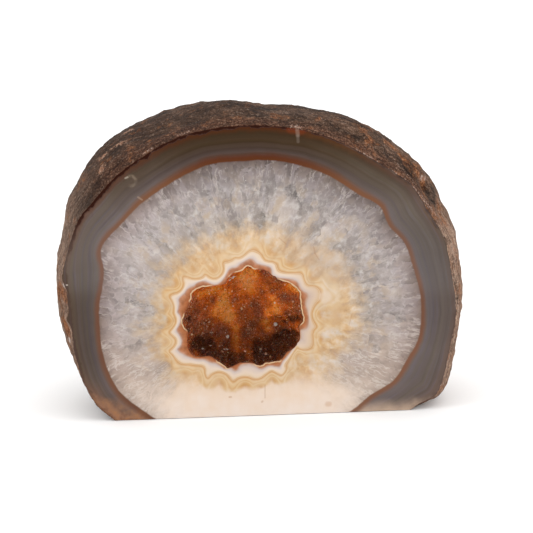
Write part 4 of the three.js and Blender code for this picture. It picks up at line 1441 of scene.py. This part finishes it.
def chipped(f, r, colour):
    """Pale chips and crumbs where they were placed, and specks everywhere."""
    pale = f.measure("pale")
    crumbs = f.ease(f.lift(f.noise(0.8, 4.0, 0.75), 4, pale), 2.65, 3.25, 0.0, 0.85)
    crumb = f.ramp(r.grains, [(0.4, "a07562"), (0.5, "bb9681"), (0.62, "dccabc")])
    orange = f.ramp(r.grains, [(0.4, "9a6444"), (0.5, "b98666"), (0.62, "d6ab8e")])
    crumb = f.over(crumb, orange, f.ease(r.x, -40, -46), f.ease(r.z, 66, 76), 0.75)
    crumb = f.over(crumb, "dcccc2", f.ease(pale, 1.25, 1.6))
    colour = f.over(colour, crumb, crumbs)
    return f.over(colour, "b39c8a", f.ease(f.noise(0.7, 2.0), 0.63, 0.71), 0.3)


# %% Rind finish
def rind_finish():
    f = Finish("rind")
    r = rind_map(f)
    colour = rusted(f, r, rind_patches(f, r, rind_ground(f, r)))
    colour = chipped(f, r, creased(f, r, colour))
    parts = (f.noise(1.6, 7.0, 0.75), 1.3), (r.strands, 0.9), (r.creases, -0.25)
    rough = f.total(*(f.product(height, share) for height, share in parts))
    f.wear({
        "Base Color": colour,
        "Roughness": f.ease(r.strands, 0.3, 0.7, 0.65, 0.9),
        "Specular IOR Level": 0.14,
        "Normal": f.node("Bump", {"Height": rough, "Distance": 0.0014, "Strength": 1.0}),
    })
    return f


rind = rind_finish()
print("nodes in the rind:", len(rind.tree.nodes))

# %% Hollow wall behind the lining
wall = Finish("hollow_wall")
wall_colour = wall.ramp(wall.noise(3, 4.0), [(0.3, "5c2f1a"), (0.6, "9a6544")])
wall.wear({"Base Color": wall_colour, "Roughness": 0.5})
print("nodes in the hollow's wall:", len(wall.tree.nodes))

# %% [markdown]
# ## From a mesh to a piece
#
# Everything so far was measured in millimetres on the bench. The imported model counts in metres
# from its own origin, so each mesh is moved there once, gets its finishes, and hangs under a root
# empty, while the imported piece whose place it takes is hidden.

# %% The stone piece
METRES_PER_MM = 0.001
SHARP = math.radians(32)  # edges that are bent more than this stay sharp


def as_piece(name, mesh, finishes, node):
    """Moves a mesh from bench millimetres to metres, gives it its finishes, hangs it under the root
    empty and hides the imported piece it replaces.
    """
    flat_places = np.empty(len(mesh.vertices) * 3, np.float32)
    mesh.vertices.foreach_get("co", flat_places)
    moved = flat_places.reshape(-1, 3) * METRES_PER_MM + np.array(ORIGIN, np.float32)
    mesh.vertices.foreach_set("co", moved.astype(np.float32).ravel())
    for finish in finishes:
        mesh.materials.append(finish.material)
    mesh.update()
    piece = bpy.data.objects.new(name, mesh)
    bpy.context.scene.collection.objects.link(piece)
    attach(piece, "root")
    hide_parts(node)
    mesh.calc_loop_triangles()
    print(name, "has", len(mesh.loop_triangles), "triangles")


stone_mesh.shade_smooth()
stone_mesh.set_sharp_from_angle(angle=SHARP)
stone_finishes = [rind, polished_face, sawn_base, wall]  # in the order of the face numbers above
as_piece("agate_body", stone_mesh, stone_finishes, "agate_stone")

# %% [markdown]
# ## The crystal lining
#
# The hollow is lined with a crust of tiny quartz points, stained by iron. The crust
# is one closed shell with lumps and a shelf, and thousands of small six-sided
# points stand on it. They are scattered by area with a fixed seed, each leaning a
# little from the crust, so the light breaks up as it does on the real one. Real
# particles would do that too, but they aren't part of an exported mesh.

# %% The crust
LINING_COLUMNS = 300
LINING_ROWS = 64
SHELL_ROWS = 10
WALL_GAP = 0.12  # between the crust and the hollow's wall
MOUTH_DEPTH = 0.45  # how far behind the face the crust begins
CRUST_AT_MOUTH, CRUST_GAIN = 0.25, 1.35  # its thickness at the mouth, and what is added inside
lining_turns = np.linspace(-math.pi, math.pi, LINING_COLUMNS, endpoint=False)
lining_rim = along_line(rim, lining_turns)


def lining_ring(inward):
    """One ring of the lining's open side: thin at the mouth, full further in."""
    inset = CRUST_AT_MOUTH + CRUST_GAIN * float(soft_step(np.array(inward), 0.0, 0.3))
    points = hollow_ring(lining_rim, inward, inset, True)
    points[:, 1] = np.maximum(points[:, 1], MOUTH_DEPTH)
    lumps = 0.35 * crag(points, 2.6, 11) + 0.2 * crag(points, 1.2, 12)
    inwards = np.array([HOLLOW_AXIS[0], 4.0, HOLLOW_AXIS[1]]) - points
    inwards /= np.linalg.norm(inwards, axis=1)[:, None]
    amount = (lumps * min(1.0, inward * 6))[:, None]
    return points + inwards * amount


shell_rows = [hollow_ring(lining_rim, 1 - i / SHELL_ROWS, WALL_GAP) for i in range(SHELL_ROWS)]
mouth = hollow_ring(lining_rim, 0.0, WALL_GAP)
mouth[:, 1] = MOUTH_DEPTH
shell_rows.append(mouth)
inwards = [0.012 + 0.988 * (i / LINING_ROWS) ** 0.9 for i in range(LINING_ROWS + 1)]
open_rows = [lining_ring(inward) for inward in inwards]
crust_points, crust_faces, _ = net(shell_rows + open_rows)
print("crust points:", len(crust_points))

# %% Where thousands of small crystals stand
CRYSTALS = 4300
chance = np.random.default_rng(29)
open_net = np.stack(open_rows)
down = np.roll(open_net, -1, 1)[:-1] - open_net[:-1]
across = open_net[1:] - open_net[:-1]
outward = np.cross(across, down)
area = np.linalg.norm(outward, axis=2)
outward /= np.maximum(area, 1e-9)[..., None]
weight = (area / area.sum()).ravel()
picked = chance.choice(len(weight), CRYSTALS, p=weight)
row_of, column_of = np.unravel_index(picked, area.shape)
roots = (
    open_net[row_of, column_of]
    + down[row_of, column_of] * chance.random((CRYSTALS, 1))
    + across[row_of, column_of] * chance.random((CRYSTALS, 1))
)
to_middle = np.array([HOLLOW_AXIS[0], -6.0, HOLLOW_AXIS[1]]) - roots
normals = outward[row_of, column_of]
normals *= np.sign((normals * to_middle).sum(1))[:, None]
normals += chance.normal(0, 0.32, (CRYSTALS, 3))
normals /= np.linalg.norm(normals, axis=1)[:, None]
sizes = 0.2 + 0.34 * chance.random(CRYSTALS) ** 4
lengths = sizes * (0.8 + 0.7 * chance.random(CRYSTALS))
keep = (roots[:, 1] + normals[:, 1] * lengths > 0.5) & (roots[:, 1] > 0.9)
roots, normals, sizes, lengths = roots[keep], normals[keep], sizes[keep], lengths[keep]
print("crystals:", len(roots))

# %% One six-sided point, repeated
SIDES = 6
spin = np.arange(SIDES) * math.tau / SIDES
ring = np.stack([np.cos(spin), np.sin(spin), np.zeros(SIDES)], 1)
unit = np.concatenate([ring + (0, 0, -0.35), ring * (0.94, 0.94, 1) + (0, 0, 0.35), [[0, 0, 1.0]]])
unit_faces = [tuple(reversed(range(SIDES)))]
unit_faces += [(i, (i + 1) % SIDES, SIDES + (i + 1) % SIDES, SIDES + i) for i in range(SIDES)]
unit_faces += [(SIDES + i, SIDES + (i + 1) % SIDES, 2 * SIDES) for i in range(SIDES)]

side_a = np.cross(normals, chance.normal(0, 1, normals.shape))
side_a /= np.linalg.norm(side_a, axis=1)[:, None]
side_b = np.cross(normals, side_a)
crystal_points = (
    roots[:, None]
    + side_a[:, None] * unit[None, :, :1] * sizes[:, None, None]
    + side_b[:, None] * unit[None, :, 1:2] * sizes[:, None, None]
    + normals[:, None] * unit[None, :, 2:] * lengths[:, None, None]
).reshape(-1, 3)
firsts = [len(crust_points) + k * len(unit) for k in range(len(roots))]
crystal_faces = [tuple(first + i for i in face) for first in firsts for face in unit_faces]

druse_place = np.concatenate([crust_points, crystal_points])
druse_mesh = bpy.data.meshes.new("crystal_lining")
druse_mesh.from_pydata(druse_place.tolist(), [], crust_faces + crystal_faces)
grain = np.repeat(chance.random(len(roots)), len(unit))
grain = np.concatenate([np.full(len(crust_points), 0.5), grain])
print("crystal faces:", len(crystal_faces))

# %% [markdown]
# ## Stains of the lining
#
# Iron stained the crystals orange on top and brown between. Low down they lie in shade and are
# nearly black, and that shade is painted into their colour. Noise alone would put these patches
# anywhere, so round ones are listed one by one, and noise only frays their borders. Single crystals
# get a tone of their own from the random number that each carries.

# %% Where the lining is orange, brown and in painted shade
ORANGE = [  # x, z, radius
    (-16.4, 40.5, 2.2), (-18.7, 39.5, 1.8), (-13.5, 37.7, 1.8), (-13.4, 34.7, 2.4),
    (-12.7, 31.4, 2.8), (-11.6, 29.1, 2.2), (-15.9, 31.2, 1.8), (-9.4, 25.6, 1.3),
    (-9.4, 22.5, 1.3), (-9.9, 20.5, 1.0), (-6.3, 46.6, 2.0), (-8.4, 44.5, 1.4), (-6.2, 41.7, 2.2),
    (-4.3, 38.8, 1.8), (-4.0, 44.7, 1.4), (2.0, 36.7, 1.2), (2.7, 34.2, 1.4), (3.6, 32.4, 1.3),
    (0.5, 31.7, 1.2), (0.6, 28.1, 1.5), (1.3, 25.4, 1.3), (6.8, 42.3, 1.5), (8.7, 40.8, 1.2),
    (-22.1, 38.7, 1.4),
]
BROWN = [  # x, z, radius
    (-7.3, 30.9, 1.9), (-10.3, 35.3, 1.3), (-3.0, 33.7, 1.9), (-2.1, 30.8, 1.8), (-1.4, 38.7, 1.2),
    (-3.5, 27.0, 1.8), (5.5, 37.1, 1.7), (8.4, 37.8, 1.3), (1.9, 44.2, 1.9), (-1.2, 46.7, 1.5),
    (4.3, 43.8, 1.2), (-17.0, 35.5, 1.2), (-23.7, 37.6, 1.8), (-22.8, 32.4, 1.8),
    (-26.3, 32.5, 2.6), (-25.4, 36.0, 2.2), (-24.2, 29.8, 2.0), (10.2, 36.4, 1.6), (9.8, 33.6, 1.4),
    (7.0, 32.0, 1.4), (-20.1, 28.9, 2.0), (-14.1, 25.0, 2.2), (-13.4, 20.9, 2.0), (-5.8, 23.8, 1.8),
    (-23.4, 26.6, 2.2), (-18.9, 24.2, 2.2), (5.0, 25.1, 1.6),
]
# Painted shade: deep places low in the hollow and the recess under the shelf, where little light
# reaches.
SHADED_SPOTS = [  # x, z, radius
    (-24.2, 22.7, 1.6), (-21.1, 21.3, 1.8), (-18.2, 20.3, 1.9), (-15.1, 18.5, 1.9),
    (-11.6, 17.4, 1.9), (-8.1, 18.2, 1.8), (-3.5, 17.7, 1.8), (-2.5, 16.9, 1.4), (1.0, 19.9, 2.4),
    (4.8, 20.6, 2.2), (7.9, 23.6, 2.2), (3.8, 22.6, 2.2), (8.9, 26.2, 1.2), (0.9, 18.2, 1.8),
    (-2.3, 20.6, 1.8), (-22, 22.8, 1.6), (-17.6, 21.6, 1.6), (6.2, 28.6, 0.9), (7.9, 29.9, 1.1),
    (9.8, 31.0, 1.2), (6.4, 24.6, 1.4), (-25.2, 31.2, 1.2), (-26.0, 28.4, 1.2),
]
GLINTS = [  # x, y, z, radius
    (3.7, 13, 26.9, 0.7), (-12, 14.5, 22.8, 0.5), (-12.4, 11.5, 19.4, 0.45),
    (-20.9, 6.1, 21.2, 0.5), (-18.2, 7.6, 21.7, 0.45), (-11.1, 4.7, 44.6, 0.8),
    (2.7, 8, 35.2, 0.35), (-12.4, 4.3, 43.9, 0.5),
]


def patches(spots):
    total = np.zeros(len(druse_place))
    for x, z, radius in spots:
        total += bump(np.hypot(druse_place[:, 0] - x, druse_place[:, 2] - z), radius)
    return np.minimum(total, 1)


glint = sum(
    bump(np.linalg.norm(druse_place - (x, y, z), axis=1), 1.2 * radius)
    for x, y, z, radius in GLINTS
)
store(druse_mesh, {
    "grain": grain, "orange": patches(ORANGE), "dark": patches(SHADED_SPOTS), "brown": patches(BROWN),
    "glint": glint,
})
print("patches:", len(ORANGE), "orange,", len(BROWN), "brown and", len(SHADED_SPOTS), "dark")

# %% Lining finish
LINING_SHADES = [
    (0.05, "4a1d0e"), (0.22, "6e3014"), (0.38, "914418"), (0.56, "bd5814"), (0.72, "cf6a18"),
    (0.95, "d88640"),
]


def lining_colour(f, grain):
    """Orange to brown, with painted shade low down and in the shaded spots, a painted highlight on
    one lump near the top, and pale crystals and specks on top that are part dust and part painted
    glints.
    """
    brown = f.measure("brown")
    warm = f.lift(f.less(f.noise(3.2, 4.0), 0.5), 0.55, 0.46)
    warm = f.lift(f.measure("orange"), 0.42, f.lift(brown, -0.12, warm))
    colour = f.over(f.ramp(warm, LINING_SHADES), "704430", brown, 0.42)
    # Painted shade: darker towards the bottom of the hollow.
    height = f.ease(f.part(f.place, 2), 18, 33, 0.5, 1.06)
    colour = f.tinted(colour, f.product(f.lift(grain, 0.5, 0.75), height))
    shade = f.ease(f.lift(f.noise(2.2, 3.0), 0.4, f.measure("dark")), 0.25, 1.35, 0.0, 0.9)
    colour = f.over(colour, "250d04", shade)
    # Painted highlight: a soft pale orange patch on a lump near the top of the hollow.
    colour = f.over(colour, "e0955c", f.ease(f.away((-6.6, 7, 41.2)), 1.5, 5.5, 1.0, 0.0), 0.38)
    # Pale crystals and noise specks: part pale dust, part painted glints of the tiny crystal faces.
    pale = f.product(f.ease(grain, 0.93, 0.95), f.ease(f.noise(4, 2.0), 0.38, 0.6, 0.2, 1.0))
    dust_and_glints = f.ease(f.noise(0.36, 1.0), 0.64, 0.705)
    dust_and_glints = f.product(dust_and_glints, f.ease(f.noise(5, 2.0), 0.4, 0.6, 0.4, 1.0))
    specks_and_glints = f.most(f.product(pale, 0.6), f.product(dust_and_glints, 0.75))
    colour = f.over(colour, "d8b49c", f.product(specks_and_glints, f.lift(shade, -0.55, 1.0)))
    glint = f.lift(grain, 0.4, f.measure("glint"))
    return f.over(colour, "d2bfb2", f.ease(glint, 0.55, 0.9, 0.0, 0.85))


def lining_finish():
    f = Finish("stained_crystals")
    grain = f.measure("grain")
    relief = {"Height": f.noise(0.9, 3.0, 0.6), "Distance": 0.0003, "Strength": 0.5}
    f.wear({
        "Base Color": lining_colour(f, grain),
        "Roughness": f.lift(grain, 0.3, 0.2),
        "IOR": 1.55,
        "Specular IOR Level": 0.13,
        "Subsurface Weight": 0.5,
        "Subsurface Radius": (1.0, 0.35, 0.12),
        "Subsurface Scale": 0.0014,
        "Normal": f.node("Bump", relief),
    })
    return f


as_piece("crystal_lining", druse_mesh, [lining_finish()], "crystal_crust")

# %% [markdown]
# ## Floor and light
#
# The piece is seen on plain white under soft light. A wide pale floor and a bright
# dome give that. The polish mirrors what lies in front of it: a soft pale zone
# shows in the upper half of the face and ends a little below its middle, so the
# dome has a bright strip just under the horizon, and the floor isn't mirrored.

# %% Floor
pale_floor = Finish("pale_floor")
floor_colour = pale_floor.ramp(pale_floor.noise(900, 2.0), [(0.4, "f4f3f2"), (0.6, "fafafa")])
pale_floor.wear({"Base Color": floor_colour, "Roughness": 0.9, "Specular IOR Level": 0.1})

HALF_FLOOR = 60.0
FLOOR_GAP = 0.0002  # in metres, so that the floor and the sawn base don't flicker
floor_mesh = bpy.data.meshes.new("floor")
corners = [(x * HALF_FLOOR, y * HALF_FLOOR, 0) for x, y in ((-1, -1), (1, -1), (1, 1), (-1, 1))]
floor_mesh.from_pydata(corners, [], [(0, 1, 2, 3)])
floor_mesh.materials.append(pale_floor.material)
floor = bpy.data.objects.new("floor", floor_mesh)
floor.location.z = -FLOOR_GAP
floor.visible_glossy = False
bpy.context.scene.collection.objects.link(floor)
floor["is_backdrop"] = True
print("the floor is", 2 * HALF_FLOOR, "m wide")

# %% Dome
world = bpy.data.worlds.new("studio")
bpy.context.scene.world = world
world.use_nodes = True
tree = world.node_tree
tree.nodes.clear()
kinds = ("TexCoord", "SeparateXYZ", "Math", "ValToRGB", "Background", "OutputWorld")
where, parts, shift, glow, sky, out = (tree.nodes.new("ShaderNode" + kind) for kind in kinds)
shift.operation = "MULTIPLY_ADD"  # heights from -1 to 1 become 0 to 1
for socket in (1, 2):
    shift.inputs[socket].default_value = 0.5
steps = ((where, 0, parts), (parts, 2, shift), (shift, 0, glow), (glow, 0, sky), (sky, 0, out))
for source, socket, target in steps:
    tree.links.new(source.outputs[socket], target.inputs[0])
DOME = [  # height of the direction, brightness
    (-1.0, 0.02), (-0.2085, 0.02), (-0.2065, 0.66), (-0.15, 0.6), (-0.1, 0.1), (-0.06, 0.05),
    (-0.035, 1.0), (0.03, 1.0), (0.08, 0.5), (1.0, 1.5),
]
BRIGHTEST = max(brightness for _, brightness in DOME)
stops = glow.color_ramp.elements
for i, (height, brightness) in enumerate(DOME):
    stop = stops[i] if i < 2 else stops.new(0.5)
    stop.position = height * 0.5 + 0.5
    stop.color = (*[brightness / BRIGHTEST] * 3, 1)
sky.inputs[1].default_value = BRIGHTEST
bpy.context.scene.view_settings.view_transform = "Standard"
bpy.context.scene.view_settings.look = "None"
print("the dome has", len(DOME), "stops, the brightest at", BRIGHTEST)

# %% Soft boxes
BOX_SIZE = 0.7
BOX_POWER = 3
for side, x, z in (("left", -1.1, 0.5), ("right", 1.1, 0.45)):
    data = bpy.data.lights.new(side, "AREA")
    data.shape = "RECTANGLE"
    data.size = data.size_y = BOX_SIZE
    data.energy = BOX_POWER
    lamp = bpy.data.objects.new(side, data)
    lamp.location = (x, -0.4, z)
    lamp.rotation_mode = "QUATERNION"
    towards_stone = Vector((0, 0, 0.05)) - lamp.location
    lamp.rotation_quaternion = towards_stone.to_track_quat("-Z", "Y")
    bpy.context.scene.collection.objects.link(lamp)
    print(side, "soft box,", BOX_SIZE, "m wide, aimed at the stone")

# %% [markdown]
# ## The last numbers
#
# Both boxes are printed: the imported one at the start, the dressed one here.
# The dressed piece has to stay the size of the imported one.

# %% Sizes and finish
low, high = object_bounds()
print("dressed box in mm:", [round(v * 1000, 1) for v in high - low])
